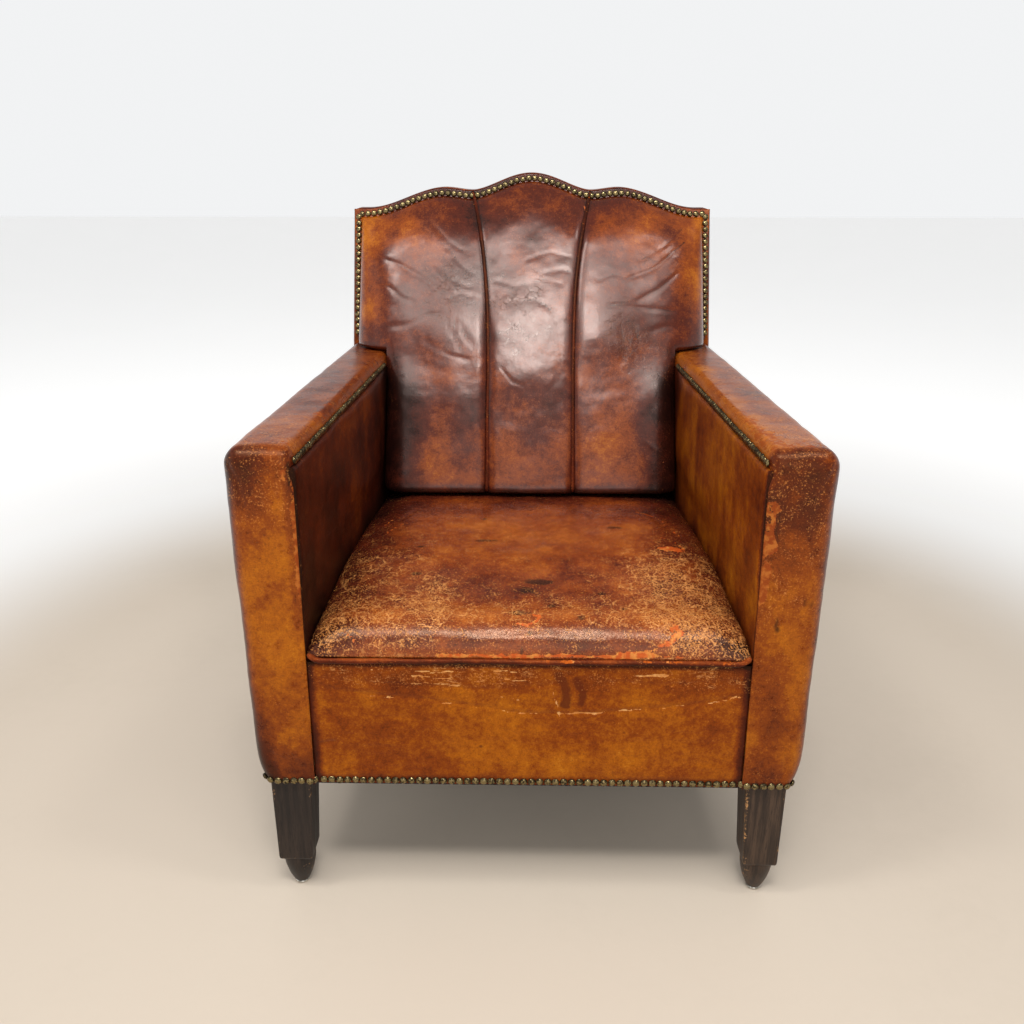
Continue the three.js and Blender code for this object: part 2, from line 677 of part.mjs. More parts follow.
function buildLegs() {
  const [x, y] = [LEG_CENTRE[0] - LEG_SIZE / 2, LEG_CENTRE[1] - LEG_SIZE / 2];
  const toe = [x + LEG_TOE_SIZE / 2, y + LEG_TOE_SIZE / 2];
  const toeProfile = steps(0, 1, 6).map((t) => [
    mix(9.8, 21.6, Math.sin((t * Math.PI) / 2)),
    mix(5, TOE_TOP + 0.5, t ** 1.15),
  ]);
  const frontLeg = cut(
    join(
      legBody([x, y], LEG_SIZE, [x, y], LEG_TOE_SIZE, TOE_TOP, LEG_CENTRE),
      turned([[0, 5], ...toeProfile, [0, TOE_TOP + 0.5]], toe, 20),
    ),
    rod(...toe, NAIL_BORE[0], 0, NAIL_BORE[1]),
  );
  addPair("leg_front", "leg", frontLeg);
  addPair("glide_front", "nickel", turned(GLIDE, toe, 16));

  const [REAR_TOP, REAR_LOW, RAKE] = [46, 36, 52];
  const rearToe = [REAR_LEG_CENTRE[0], REAR_LEG_CENTRE[1] + RAKE];
  const corner = ([cx, cy], size) => [cx - size / 2, cy - size / 2];
  const rearLeg = cut(
    legBody(
      corner(REAR_LEG_CENTRE, REAR_TOP),
      REAR_TOP,
      corner(rearToe, REAR_LOW),
      REAR_LOW,
      5,
      REAR_LEG_CENTRE,
    ),
    rod(...rearToe, NAIL_BORE[0], 0, NAIL_BORE[1]),
  );
  addPair("leg_rear", "leg", rearLeg);
  addPair("glide_rear", "nickel", turned(GLIDE, rearToe, 16));
}

function buildBase() {
  const STRIP = [BODY_BOTTOM + 1, BODY_BOTTOM + 1 + NAIL_BAND];
  const bandEnd = CHAIR_WIDTH / 2 - ARM_FOOT;
  // The left half of the strip's inner face, from the middle of the front to that of the rear.
  const inner = [
    [-bandEnd + 0.4, BAND_FRONT - 0.4],
    [-bandEnd + 0.4, -0.4],
    [-336, -0.4],
    [-342.8, 5],
    [-316.4, 508],
    [-316.4, 621.8],
  ];
  const outer = [
    [-bandEnd + 0.4 + NAIL_RISE, BAND_FRONT - 0.4 - NAIL_RISE],
    [-bandEnd + 0.4 + NAIL_RISE, -0.4 - NAIL_RISE],
    [-337.4, -0.4 - NAIL_RISE],
    [-345.6, 4],
    [-319.1, 508],
    [-319.1, 621.8 + NAIL_RISE],
  ];
  const whole = (half) => [...half, ...half.map(([x, y]) => [-x, y]).reverse()];
  add("base_nail_row", "brass", plate(whole(outer), STRIP, [whole(inner)]));

  const cloth = [
    [-278, 8],
    [-278, 62],
    [-336, 62],
    [-312, 570],
    [-260, 570],
    [-260, 614],
  ];
  add("dust_cover", "cambric", plate(whole(cloth), [176, 178.4]));
}

buildArms();
buildSeat();
buildBack();
buildSeatFrame();
buildLegs();
buildBase();

// The origin is the middle of the footprint, on the floor.
const footprint = new THREE.Box3().setFromObject(chair);
chair.position.y = -(footprint.min.y + footprint.max.y) / 2;
const clubChair = new THREE.Group();
clubChair.add(chair);

export default clubChair;
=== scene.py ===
"""Looks of a worn club chair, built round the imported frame.

Sizes are in millimetres and Y is counted from the arms' front plane, until Workshop.place turns a
mesh into the row's frame. Every cover is a dense mesh that carries its own wear as painted values.
"""

import logging
import math
from collections.abc import Sequence
from dataclasses import dataclass, field
from enum import Enum
from typing import Any

import bpy
import numpy as np
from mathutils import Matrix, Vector


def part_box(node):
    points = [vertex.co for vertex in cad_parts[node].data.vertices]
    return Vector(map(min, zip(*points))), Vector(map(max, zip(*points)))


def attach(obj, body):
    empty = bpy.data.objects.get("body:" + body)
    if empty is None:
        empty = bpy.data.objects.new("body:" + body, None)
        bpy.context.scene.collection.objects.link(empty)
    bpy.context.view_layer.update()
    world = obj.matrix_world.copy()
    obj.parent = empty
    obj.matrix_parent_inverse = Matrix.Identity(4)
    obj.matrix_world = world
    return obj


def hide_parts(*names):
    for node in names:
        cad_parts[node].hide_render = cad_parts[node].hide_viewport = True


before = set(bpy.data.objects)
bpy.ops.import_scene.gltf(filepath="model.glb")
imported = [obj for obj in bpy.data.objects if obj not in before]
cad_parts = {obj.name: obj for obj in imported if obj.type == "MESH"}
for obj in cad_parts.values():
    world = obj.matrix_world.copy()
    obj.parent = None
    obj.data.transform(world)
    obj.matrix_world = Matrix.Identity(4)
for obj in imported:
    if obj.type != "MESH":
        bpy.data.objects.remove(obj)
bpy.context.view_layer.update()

LOG = logging.getLogger("club_chair")
Array = np.ndarray
Socket = bpy.types.NodeSocket

FRONT_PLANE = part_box("arm_cover_left")[0].y * 1000.0
CHAIR_HALF = 350.0
BODY_BOTTOM = 179.0
ARM_TOP = 629.0
ARM_WIDTH = 82.5
ARM_FOOT = 76.0
ARM_TAPER = 0.0525
BACK_LEAN = 0.195
BACK_BASE = 662.0
NAIL_RADIUS = 5.1


class Side(Enum):
    """The chair's left and right, as seen from the front, with the sign of X."""

    LEFT = -1
    RIGHT = 1

    @property
    def suffix(self) -> str:
        """The ending of this side's node names."""
        return self.name.lower()


class Paint(Enum):
    """The values that a cover carries at each of its points."""

    TONE = "tone"  # 0 is the darkest patina, 1 the palest tan; in places it is lowered as painted shade
    RUB = "rub"  # how far the finish is rubbed or flaked away
    CRACK = "crack"  # how closely the surface is cracked
    STAIN = "stain"  # dark marks: stains, and in places painted shade in creases and corners


# ---- Numbers ---------------------------------------------------------------------------------


def mix(low: Any, high: Any, share: Any) -> Any:
    """The value at a share of the way from low to high."""
    return low + (high - low) * share


def smooth(t: Any) -> Any:
    """0 to 1, level at both ends."""
    t = np.clip(t, 0.0, 1.0)
    return t * t * (3.0 - 2.0 * t)


def round_off(t: Any) -> Any:
    """0 to 1 along a quarter circle: steep first, level at the end."""
    return np.sqrt(1.0 - (1.0 - np.clip(t, 0.0, 1.0)) ** 2)


def steps(low: float, high: float, spacing: float) -> Array:
    """Evenly spaced values from low to high, at most a spacing apart."""
    return np.linspace(low, high, max(2, int(math.ceil((high - low) / spacing)) + 1))


def noise(points: Array, size: float, seed: int, octaves: int = 1) -> Array:
    """Smooth repeatable noise.

    Args:
        points: Points in millimetres, one to a row.
        size: Width of the largest lumps, in millimetres.
        seed: Picks one pattern.
        octaves: How many finer layers are added, each half the size and strength of the last.

    Returns:
        One value from about -1 to 1 for each point.
    """
    total = np.zeros(len(points))
    strength, reach = 1.0, 0.0
    for layer in range(octaves):
        place = points / (size / 2.0**layer) + 37.0 * layer
        cell = np.floor(place).astype(np.int64)
        part = smooth(place - cell)
        value = np.zeros(len(points))
        for corner in range(8):
            offset = np.array([corner & 1, (corner >> 1) & 1, corner >> 2])
            key = (cell + offset) @ np.array([73856093, 19349663, 83492791])
            key = (key ^ (seed * 2654435761)) & 0x7FFFFFFF
            key = (key * 48271 + (key >> 11)) & 0x7FFFFFFF
            key = (key * 69621 + (key >> 7)) & 0x7FFFFFFF
            weight = np.prod(np.where(offset, part, 1.0 - part), axis=1)
            value += weight * (key / 1073741823.5 - 1.0)
        total += strength * value
        reach += strength
        strength *= 0.5
    return total / reach * 1.6


def spot(across: Array, up: Array, centre: tuple[float, float], size: tuple[float, float], turn: float = 0.0) -> Array:
    """A soft oval patch, 1 at its centre.

    Args:
        across: First coordinate of each point.
        up: Second coordinate of each point.
        centre: Middle of the patch.
        size: Half its width and half its height, where it has faded to about a third.
        turn: How far it is turned, in degrees.

    Returns:
        A strength from 0 to 1 for each point.
    """
    angle = math.radians(turn)
    dx, dy = across - centre[0], up - centre[1]
    along = dx * math.cos(angle) + dy * math.sin(angle)
    over = dy * math.cos(angle) - dx * math.sin(angle)
    return np.exp(-((along / size[0]) ** 2) - (over / size[1]) ** 2)


def stroke(across: Array, up: Array, path: Sequence[tuple[float, float]], width: float) -> Array:
    """A soft line along a path, 1 on it and about a third at the given half width."""
    nearest = np.full(len(across), 1e9)
    for (x0, y0), (x1, y1) in zip(path[:-1], path[1:]):
        dx, dy = x1 - x0, y1 - y0
        share = np.clip(((across - x0) * dx + (up - y0) * dy) / (dx * dx + dy * dy), 0.0, 1.0)
        reach = np.hypot(across - x0 - share * dx, up - y0 - share * dy)
        nearest = np.minimum(nearest, reach)
    return np.exp(-((nearest / width) ** 2))


# ---- Meshes ----------------------------------------------------------------------------------


@dataclass
class Shell:
    """A mesh in millimetres with the values painted on it."""

    points: Array
    faces: list[Any]
    paint: dict[Paint, Array] = field(default_factory=dict)

    def normals(self) -> Array:
        """Unit normals at the points, from the four-sided faces."""
        quads = np.array([face for face in self.faces if len(face) == 4])
        a, b, c, d = (self.points[quads[:, k]] for k in range(4))
        across = np.cross(c - a, d - b)
        total = np.zeros_like(self.points)
        for k in range(4):
            np.add.at(total, quads[:, k], across)
        return total / np.maximum(np.linalg.norm(total, axis=1, keepdims=True), 1e-9)

    def volume(self) -> float:
        """Six times the enclosed volume, negative if the faces point in."""
        total = 0.0
        middle = self.points.mean(axis=0)
        for size in sorted({len(face) for face in self.faces}):
            ring = self.points[np.array([face for face in self.faces if len(face) == size])] - middle
            for k in range(1, size - 1):
                total += float(np.einsum("ij,ij->", ring[:, 0], np.cross(ring[:, k], ring[:, k + 1])))
        return total

    def face_out(self) -> "Shell":
        """The same closed shell, turned round if its faces point in."""
        if self.volume() < 0.0:
            self.faces = [face[::-1] for face in self.faces]
        return self

    def mirrored(self) -> "Shell":
        """The shell on the other side of the chair."""
        points = self.points * np.array([-1.0, 1.0, 1.0])
        return Shell(points, [face[::-1] for face in self.faces], dict(self.paint))


def net(rows: int, columns: int) -> list[list[int]]:
    """Four-sided faces over a grid of points that is listed row by row."""
    index = np.arange(rows * columns).reshape(rows, columns)
    quads = np.stack([index[:-1, :-1], index[:-1, 1:], index[1:, 1:], index[1:, :-1]], axis=-1)
    return quads.reshape(-1, 4).tolist()


def rim(rows: int, columns: int) -> list[int]:
    """The points round the edge of such a grid, in the order that closes it from behind."""
    index = np.arange(rows * columns).reshape(rows, columns)
    loop = [*index[0, :], *index[1:, -1], *index[-1, -2::-1], *index[-2:0:-1, 0]]
    return [int(i) for i in loop]


def cushion(grid: Array, apex: tuple[float, float, float], kept: Array | None = None) -> Shell:
    """A closed pad: a surface, with its edge drawn in to one point behind it.

    Args:
        grid: The surface's points, in rows and columns.
        apex: The point behind it.
        kept: Whether each four-sided face of the grid is part of the pad. All are if it isn't given.

    Returns:
        The pad.
    """
    rows, columns = grid.shape[:2]
    faces = np.array(net(rows, columns))
    if kept is not None:
        faces = faces[kept.reshape(-1)]
    starts, ends = faces.reshape(-1), np.roll(faces, -1, axis=1).reshape(-1)
    count = rows * columns
    open_edge = ~np.isin(starts * count + ends, ends * count + starts)
    used, renumbered = np.unique(faces, return_inverse=True)
    number = np.full(count, -1)
    number[used] = np.arange(len(used))
    points = np.vstack([grid.reshape(-1, 3)[used], np.array([apex])])
    fan = [[int(b), int(a), len(used)] for a, b in zip(number[starts[open_edge]], number[ends[open_edge]])]
    return Shell(points, renumbered.reshape(-1, 4).tolist() + fan).face_out()


def backed(grid: Array, offset: tuple[float, float, float]) -> Shell:
    """A closed sheet: a surface, a rim, and one flat face an offset behind it."""
    rows, columns = grid.shape[:2]
    front = grid.reshape(-1, 3)
    loop = rim(rows, columns)
    points = np.vstack([front, front[loop] + np.array(offset)])
    count, start = len(loop), len(front)
    wall = [[loop[(k + 1) % count], loop[k], start + k, start + (k + 1) % count] for k in range(count)]
    return Shell(points, net(rows, columns) + wall + [list(range(start + count - 1, start - 1, -1))]).face_out()


def tube(path: Array, radius: float, sides: int = 14, lumps: float = 0.0) -> Shell:
    """A round cord along a path, closed at both ends, with slight lumps if asked."""
    ahead = np.gradient(path, axis=0)
    ahead /= np.linalg.norm(ahead, axis=1, keepdims=True)
    aside = np.cross(ahead, np.array([0.0, 1.0, 0.0]) if abs(ahead[0][1]) < 0.7 else np.array([1.0, 0.0, 0.0]))
    aside /= np.linalg.norm(aside, axis=1, keepdims=True)
    above = np.cross(aside, ahead)
    angles = np.linspace(0.0, 2.0 * math.pi, sides, endpoint=False)
    size = radius * (1.0 + lumps * noise(path, 7.0, 5, 2))
    size[0] *= 0.55
    size[-1] *= 0.55
    ring = np.cos(angles)[None, :, None] * aside[:, None] + np.sin(angles)[None, :, None] * above[:, None]
    grid = path[:, None] + ring * size[:, None, None]
    points = grid.reshape(-1, 3)
    index = np.arange(len(points)).reshape(len(path), sides)
    turned = np.roll(index, -1, axis=1)
    quads = np.stack([index[:-1], turned[:-1], turned[1:], index[1:]], axis=-1).reshape(-1, 4).tolist()
    return Shell(points, quads + [index[0][::-1].tolist(), index[-1].tolist()]).face_out()


def turned_shell(profile: Sequence[tuple[float, float]], sides: int) -> Shell:
    """A piece turned about Z from its radii and heights, with a point or a flat face at each end."""
    angles = np.linspace(0.0, 2.0 * math.pi, sides, endpoint=False)
    points = [
        (radius * math.cos(angle), radius * math.sin(angle), height)
        for radius, height in profile
        for angle in angles
    ]
    index = np.arange(len(points)).reshape(len(profile), sides)
    turned = np.roll(index, -1, axis=1)
    quads = np.stack([index[:-1], turned[:-1], turned[1:], index[1:]], axis=-1).reshape(-1, 4).tolist()
    return Shell(np.array(points), quads + [index[0][::-1].tolist(), index[-1].tolist()]).face_out()


def block(xs: Array, ys: Array, zs: Array, hidden: dict[str, tuple[int, int, int, int]]) -> Shell:
    """A box meshed on all six sides.

    Args:
        xs: Grid lines across.
        ys: Grid lines along.
        zs: Grid lines up.
        hidden: For a side (such as "x1", the high X side), the rows and columns, first and last,
            of the patch that never shows, which becomes one flat face.

    Returns:
        The closed box. Its points are box coordinates, to be shaped afterwards.
    """
    shape = (len(xs), len(ys), len(zs))
    ids = np.arange(shape[0] * shape[1] * shape[2]).reshape(shape)
    sides = {
        "x0": ids[0].T,
        "x1": ids[-1],
        "y0": ids[:, 0],
        "y1": ids[:, -1].T,
        "z0": ids[:, :, 0].T,
        "z1": ids[:, :, -1],
    }
    faces: list[Any] = []
    for name, side in sides.items():
        quads = np.stack([side[:-1, :-1], side[1:, :-1], side[1:, 1:], side[:-1, 1:]], axis=-1)
        kept = np.ones(quads.shape[:2], bool)
        if name in hidden:
            r0, r1, c0, c1 = hidden[name]
            kept[r0:r1, c0:c1] = False
            patch = side[r0 : r1 + 1, c0 : c1 + 1]
            loop = [*patch[:, 0], *patch[-1, 1:], *patch[-2::-1, -1], *patch[0, -2:0:-1]]
            faces.append([int(i) for i in loop])
        faces += quads[kept].tolist()
    used = np.unique(np.concatenate([np.asarray(face) for face in faces]))
    renumber = np.full(ids.size, -1)
    renumber[used] = np.arange(len(used))
    i, j, k = np.unravel_index(used, shape)
    points = np.column_stack([xs[i], ys[j], zs[k]]).astype(float)
    return Shell(points, [renumber[np.asarray(face)].tolist() for face in faces])


def joined(parts: Sequence[Shell]) -> Shell:
    """Several shells as one."""
    points, faces, start = [], [], 0
    for part in parts:
        points.append(part.points)
        faces += [[i + start for i in face] for face in part.faces]
        start += len(part.points)
    return Shell(np.vstack(points), faces)


class Workshop:
    """Turns shells into objects that ride on the chair and stand for its nodes."""

    @staticmethod
    def place(name: str, shell: Shell, finish: bpy.types.Material, slot: str, nodes: Sequence[str]) -> bpy.types.Object:
        """Makes a piece of the chair.

        Args:
            name: The piece's name.
            shell: Its mesh, in millimetres.
            finish: Its material.
            slot: The record's material slot; not used.
            nodes: The nodes that it stands for.

        Returns:
            The new object.
        """
        mesh = bpy.data.meshes.new(name)
        points = (shell.points + np.array([0.0, FRONT_PLANE, 0.0])) / 1000.0
        mesh.from_pydata(points.tolist(), [], shell.faces)
        for paint, values in shell.paint.items():
            layer = mesh.attributes.new(paint.value, "FLOAT", "POINT")
            layer.data.foreach_set("value", np.clip(values, 0.0, 1.0).astype(np.float32))
        mesh.polygons.foreach_set("use_smooth", np.ones(len(mesh.polygons), bool))
        mesh.materials.append(finish)
        mesh.update()
        piece = bpy.data.objects.new(name, mesh)
        bpy.context.scene.collection.objects.link(piece)
        if len(shell.faces[-1]) > 4 or any(len(face) > 4 for face in shell.faces):
            Workshop.crease(mesh)
        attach(piece, "root")
        if nodes:
            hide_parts(*nodes)
        LOG.info("%s: %d points, %d faces", name, len(mesh.vertices), len(mesh.polygons))
        return piece

    @staticmethod
    def crease(mesh: bpy.types.Mesh, angle: float = 50.0) -> None:
        """Keeps edges that turn by more than an angle sharp, so that flat faces shade flat."""
        mesh.set_sharp_from_angle(angle=math.radians(angle))

    @staticmethod
    def dress(node: str, finish: bpy.types.Material) -> None:
        """Gives a node that keeps its shape its finish."""
        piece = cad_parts[node]
        piece.data.materials.clear()
        piece.data.materials.append(finish)


# ---- Finishes --------------------------------------------------------------------------------


def linear(colour: str) -> tuple[float, float, float, float]:
    """A #rrggbb sRGB colour as linear red, green, blue and alpha."""
    parts = [int(colour[k : k + 2], 16) / 255.0 for k in (1, 3, 5)]
    red, green, blue = (c / 12.92 if c <= 0.04045 else ((c + 0.055) / 1.055) ** 2.4 for c in parts)
    return red, green, blue, 1.0


def add_node(tree: bpy.types.NodeTree, kind: str, settings: dict[str, Any], links: dict[Any, Any]) -> bpy.types.Node:
    """Adds a node.

    Args:
        tree: The material's node tree.
        kind: The node's type, without "ShaderNode".
        settings: Its properties. "stops" is a colour ramp's list of place and colour.
        links: Its inputs by name or number, each a socket to link or a value to set.

    Returns:
        The new node.
    """
    node = tree.nodes.new("ShaderNode" + kind)
    for key, value in settings.items():
        if key == "stops":
            ramp = node.color_ramp
            while len(ramp.elements) < len(value):
                ramp.elements.new(0.5)
            for element, (place, colour) in zip(ramp.elements, value):
                element.position = place
                element.color = linear(colour)
        else:
            setattr(node, key, value)
    for key, value in links.items():
        if isinstance(value, Socket):
            tree.links.new(value, node.inputs[key])
        else:
            node.inputs[key].default_value = value
    return node


class Recipe:
    """A material's node tree, with the few sums that every finish here needs."""

    def __init__(self, name: str) -> None:
        """Starts an empty material and its coordinates in millimetres."""
        self.material = bpy.data.materials.new(name)
        self.material.use_nodes = True
        self.tree = self.material.node_tree
        self.tree.nodes.clear()
        place = self.add("TexCoord", {}, {}).outputs["Object"]
        self.mm = self.add("Mapping", {}, {"Vector": place, "Scale": (1000.0, 1000.0, 1000.0)}).outputs[0]

    def add(self, kind: str, settings: dict[str, Any], links: dict[Any, Any]) -> bpy.types.Node:
        """Adds a node to this material."""
        return add_node(self.tree, kind, settings, links)

    def sum(self, operation: str, *values: Any) -> Socket:
        """A maths node's result, kept from 0 to 1 only if the operation does so."""
        return self.add("Math", {"operation": operation}, dict(enumerate(values))).outputs[0]

    def clouds(self, size: float, detail: float = 2.0, roughness: float = 0.5, place: Any = None) -> Socket:
        """Noise from 0 to 1 with lumps of a size in millimetres."""
        links = {"Vector": place or self.mm, "Scale": 1.0 / size, "Detail": detail, "Roughness": roughness}
        return self.add("TexNoise", {}, links).outputs["Fac"]

    def ramp(self, value: Any, low: float, high: float, start: float = 0.0, end: float = 1.0) -> Socket:
        """A value from low to high brought smoothly from start to end."""
        links = {"Value": value, "From Min": low, "From Max": high, "To Min": start, "To Max": end}
        return self.add("MapRange", {"interpolation_type": "SMOOTHSTEP"}, links).outputs[0]

    def blend(self, share: Any, first: Any, second: Any, how: str = "MIX") -> Socket:
        """Two colours mixed by a share."""
        settings = {"data_type": "RGBA", "blend_type": how}
        return self.add("Mix", settings, {0: share, 6: first, 7: second}).outputs[2]

    def finish(self, height: Any, links: dict[str, Any]) -> bpy.types.Material:
        """Ends the material with a bump, whose height is in millimetres, and the surface itself."""
        shader = self.add("BsdfPrincipled", {}, links)
        if height is not None:
            bump = self.add("Bump", {}, {"Height": height, "Distance": 0.001, "Strength": 1.0})
            self.tree.links.new(bump.outputs[0], shader.inputs["Normal"])
        self.add("OutputMaterial", {}, {"Surface": shader.outputs[0]})
        return self.material


@dataclass(frozen=True)
class Sheepskin:
    """Vegetable-tanned sheepskin, dyed, waxed and burnished by decades of use.

    The dye and wax lie over a tan hide. Where hands, arms and legs rub, the colour goes from near
    black through oxblood to amber. Where the finish flakes off, bare orange or pale hide shows in
    patches with ragged edges, and the dried grain breaks into a net of fine cracks.
    """

    name: str
    stops: tuple[tuple[float, str], ...]
    bare: str = "#ac5116"
    bare_pale: str = "#c88346"
    crack: str = "#c07c42"
    tip: str = "#b8763a"
    # colour of stains and of dirt in the pores, also used for the painted shade carried with the stains
    stain: str = "#210d07"
    speckle: float = 0.5
    grain: float = 1.5  # width of a pore pattern cell, drawn a little coarser than the real 0.8
    crack_cell: float = 11.0
    crack_depth: float = 0.22
    crack_width: float = 0.042  # as a share of a cell
    relief: float = 1.0  # less than 1 where leaning backs have pressed and polished the grain flat
    crack_stretch: tuple[float, float, float] = (1.0, 1.0, 1.0)
    shine: float = 0.36
    specular: float = 0.24
    gleam: str = "#e0a070"

    def material(self) -> bpy.types.Material:
        """Builds the node tree."""
        r = Recipe(self.name)
        worn = {p: r.add("Attribute", {"attribute_name": p.value}, {}).outputs["Fac"] for p in Paint}
        cloud = r.clouds(48.0, 3.0, 0.55)
        mottle = r.clouds(11.0, 5.0, 0.62)
        fleck = r.clouds(4.2, 4.0, 0.65)
        grit = r.clouds(2.1, 2.0, 0.6)
        tone = r.sum("MULTIPLY_ADD", cloud, 0.34, worn[Paint.TONE])
        tone = r.sum("MULTIPLY_ADD", mottle, 0.34, tone)
        tone = r.sum("MULTIPLY_ADD", fleck, 0.24, tone)
        tone = r.sum("MULTIPLY_ADD", grit, 0.16, tone)
        tone = r.sum("SUBTRACT", tone, 0.54)
        base = r.add("ValToRGB", {"stops": self.stops}, {0: tone}).outputs[0]

        # The dark marks, stains together with painted shade in creases and corners, soak in unevenly, so their edge
        # follows the mottling.
        stain_and_shade_share = r.ramp(r.sum("MULTIPLY_ADD", mottle, 0.9, worn[Paint.STAIN]), 0.78, 1.08, 0.0, 0.86)
        base = r.blend(stain_and_shade_share, base, linear(self.stain))

        # Dried leather loses the dye from the tips of its grain, and holds dirt in its pores.
        dried = r.sum("MULTIPLY_ADD", r.clouds(21.0, 3.0, 0.6), 0.9, worn[Paint.CRACK])
        tips = r.sum("MULTIPLY_ADD", dried, 0.34, grit)
        base = r.blend(r.ramp(tips, 0.905, 1.0, 0.0, self.speckle), base, linear(self.tip))
        pits = r.ramp(r.clouds(2.9, 2.0, 0.6), 0.6, 0.7, 0.0, 0.1 + 0.55 * self.speckle)
        base = r.blend(pits, base, linear(self.stain))

        # Craquelure: a net of cracks between plates of grain, broken where the plates still hold.
        warp = r.add("TexNoise", {}, {"Vector": r.mm, "Scale": 0.11, "Detail": 3.0}).outputs["Color"]
        bent = r.add("VectorMath", {"operation": "MULTIPLY_ADD"}, {0: warp, 1: (9.0, 9.0, 9.0), 2: r.mm}).outputs[0]
        bent = r.add("VectorMath", {"operation": "MULTIPLY"}, {0: bent, 1: self.crack_stretch}).outputs[0]
        lines = []
        for cell, width in ((self.crack_cell, self.crack_width), (self.crack_cell * 0.42, 0.07)):
            settings = {"feature": "DISTANCE_TO_EDGE"}
            edge = r.add("TexVoronoi", settings, {"Vector": bent, "Scale": 1.0 / cell}).outputs["Distance"]
            lines.append(r.ramp(edge, 0.0, width, 1.0, 0.0))
        wide = r.sum("MULTIPLY", lines[0], r.ramp(dried, 0.92, 1.14))
        fine = r.sum("MULTIPLY", lines[1], r.ramp(dried, 1.04, 1.26, 0.0, 0.8))
        split = r.sum("MULTIPLY", r.sum("MAXIMUM", wide, fine), r.ramp(fleck, 0.36, 0.56))
        base = r.blend(r.sum("MULTIPLY", split, 0.78), base, linear(self.crack))

        # Flaked patches: the finish breaks away where the rubbing passes a ragged threshold.
        ragged = r.sum("MULTIPLY_ADD", fleck, 0.62, r.sum("MULTIPLY", mottle, 0.5))
        flake = r.ramp(r.sum("ADD", ragged, worn[Paint.RUB]), 0.985, 1.04)
        hide = r.blend(r.ramp(r.clouds(9.0, 4.0), 0.44, 0.62), linear(self.bare), linear(self.bare_pale))
        base = r.blend(r.sum("MULTIPLY", flake, 0.84), base, hide)

        # Waxed grain is glossy, bare hide is not, and the pores break up both.
        rough = r.sum("MULTIPLY_ADD", flake, 0.25, r.ramp(mottle, 0.3, 0.7, self.shine - 0.01, self.shine + 0.03))
        rough = r.sum("MULTIPLY_ADD", r.sum("MAXIMUM", split, pits), 0.1, rough)
        pore_links = {"Vector": r.mm, "Scale": 1.0 / self.grain, "Randomness": 0.9}
        pore = r.add("TexVoronoi", {"feature": "SMOOTH_F1"}, pore_links).outputs["Distance"]
        height = r.sum("MULTIPLY", r.clouds(7.0, 4.0, 0.6), 0.3 * self.relief)
        height = r.sum("MULTIPLY_ADD", pore, 0.1 * self.relief, height)
        height = r.sum("MULTIPLY_ADD", split, -self.crack_depth, height)
        height = r.sum("MULTIPLY_ADD", pits, -0.1, height)
        height = r.sum("MULTIPLY_ADD", flake, -0.16, height)
        surface = {"Base Color": base, "Roughness": rough, "IOR": 1.48, "Specular IOR Level": self.specular}
        return r.finish(height, surface | {"Specular Tint": linear(self.gleam)})


@dataclass(frozen=True)
class Wood:
    """Planed beech: straight grain with short dark flecks, raw or under a thin stain.

    A stain sinks into the open pores first, so they read as darker dashes along the grain.
    """

    name: str
    pale: str
    dark: str
    fleck: str
    bare: str
    shine: float
    along: tuple[float, float, float] = (1.0, 1.0, 0.05)  # the grain's run, as a squeeze of the pattern

    def material(self) -> bpy.types.Material:
        """Builds the node tree."""
        r = Recipe(self.name)
        squeeze = {0: r.mm, 1: self.along}
        run = r.add("VectorMath", {"operation": "MULTIPLY"}, squeeze).outputs[0]
        bands = r.clouds(5.5, 4.0, 0.6, run)
        pores = r.clouds(0.9, 2.0, 0.6, run)
        base = r.blend(r.ramp(bands, 0.36, 0.66), linear(self.dark), linear(self.pale))
        base = r.blend(r.ramp(pores, 0.56, 0.66, 0.0, 0.75), base, linear(self.fleck))
        rub = r.add("Attribute", {"attribute_name": Paint.RUB.value}, {}).outputs["Fac"]
        chip = r.ramp(r.sum("MULTIPLY_ADD", r.clouds(3.4, 3.0, 0.6), 0.8, rub), 0.86, 0.96)
        base = r.blend(chip, base, linear(self.bare))
        rough = r.ramp(bands, 0.3, 0.7, self.shine, self.shine + 0.14)
        rough = r.sum("MULTIPLY_ADD", chip, 0.25, rough)
        height = r.sum("MULTIPLY_ADD", pores, -0.09, r.sum("MULTIPLY", bands, 0.12))
        height = r.sum("MULTIPLY_ADD", chip, -0.3, height)
        return r.finish(height, {"Base Color": base, "Roughness": rough, "IOR": 1.5, "Specular IOR Level": 0.25})


@dataclass(frozen=True)
class Metal:
    """Stamped, drawn or plated metal whose recesses hold tarnish and whose high spots are rubbed bright."""

    name: str
    bright: str
    tarnish: str
    cover: float  # share of the surface that stays tarnished
    shine: float
    spot: float = 2.4  # width of a tarnish patch

    def material(self) -> bpy.types.Material:
        """Builds the node tree."""
        r = Recipe(self.name)
        rub = r.add("Attribute", {"attribute_name": Paint.RUB.value}, {}).outputs["Fac"]
        patch = r.sum("SUBTRACT", r.clouds(self.spot, 3.0, 0.6), r.sum("MULTIPLY_ADD", rub, 0.4, -0.2))
        dull = r.ramp(patch, 0.56 - 0.3 * self.cover, 0.7 - 0.3 * self.cover)
        base = r.blend(dull, linear(self.bright), linear(self.tarnish))
        rough = r.ramp(dull, 0.0, 1.0, self.shine, self.shine + 0.22)
        height = r.sum("MULTIPLY", r.clouds(1.1, 2.0), 0.06)
        return r.finish(height, {"Base Color": base, "Roughness": rough, "Metallic": 0.92})


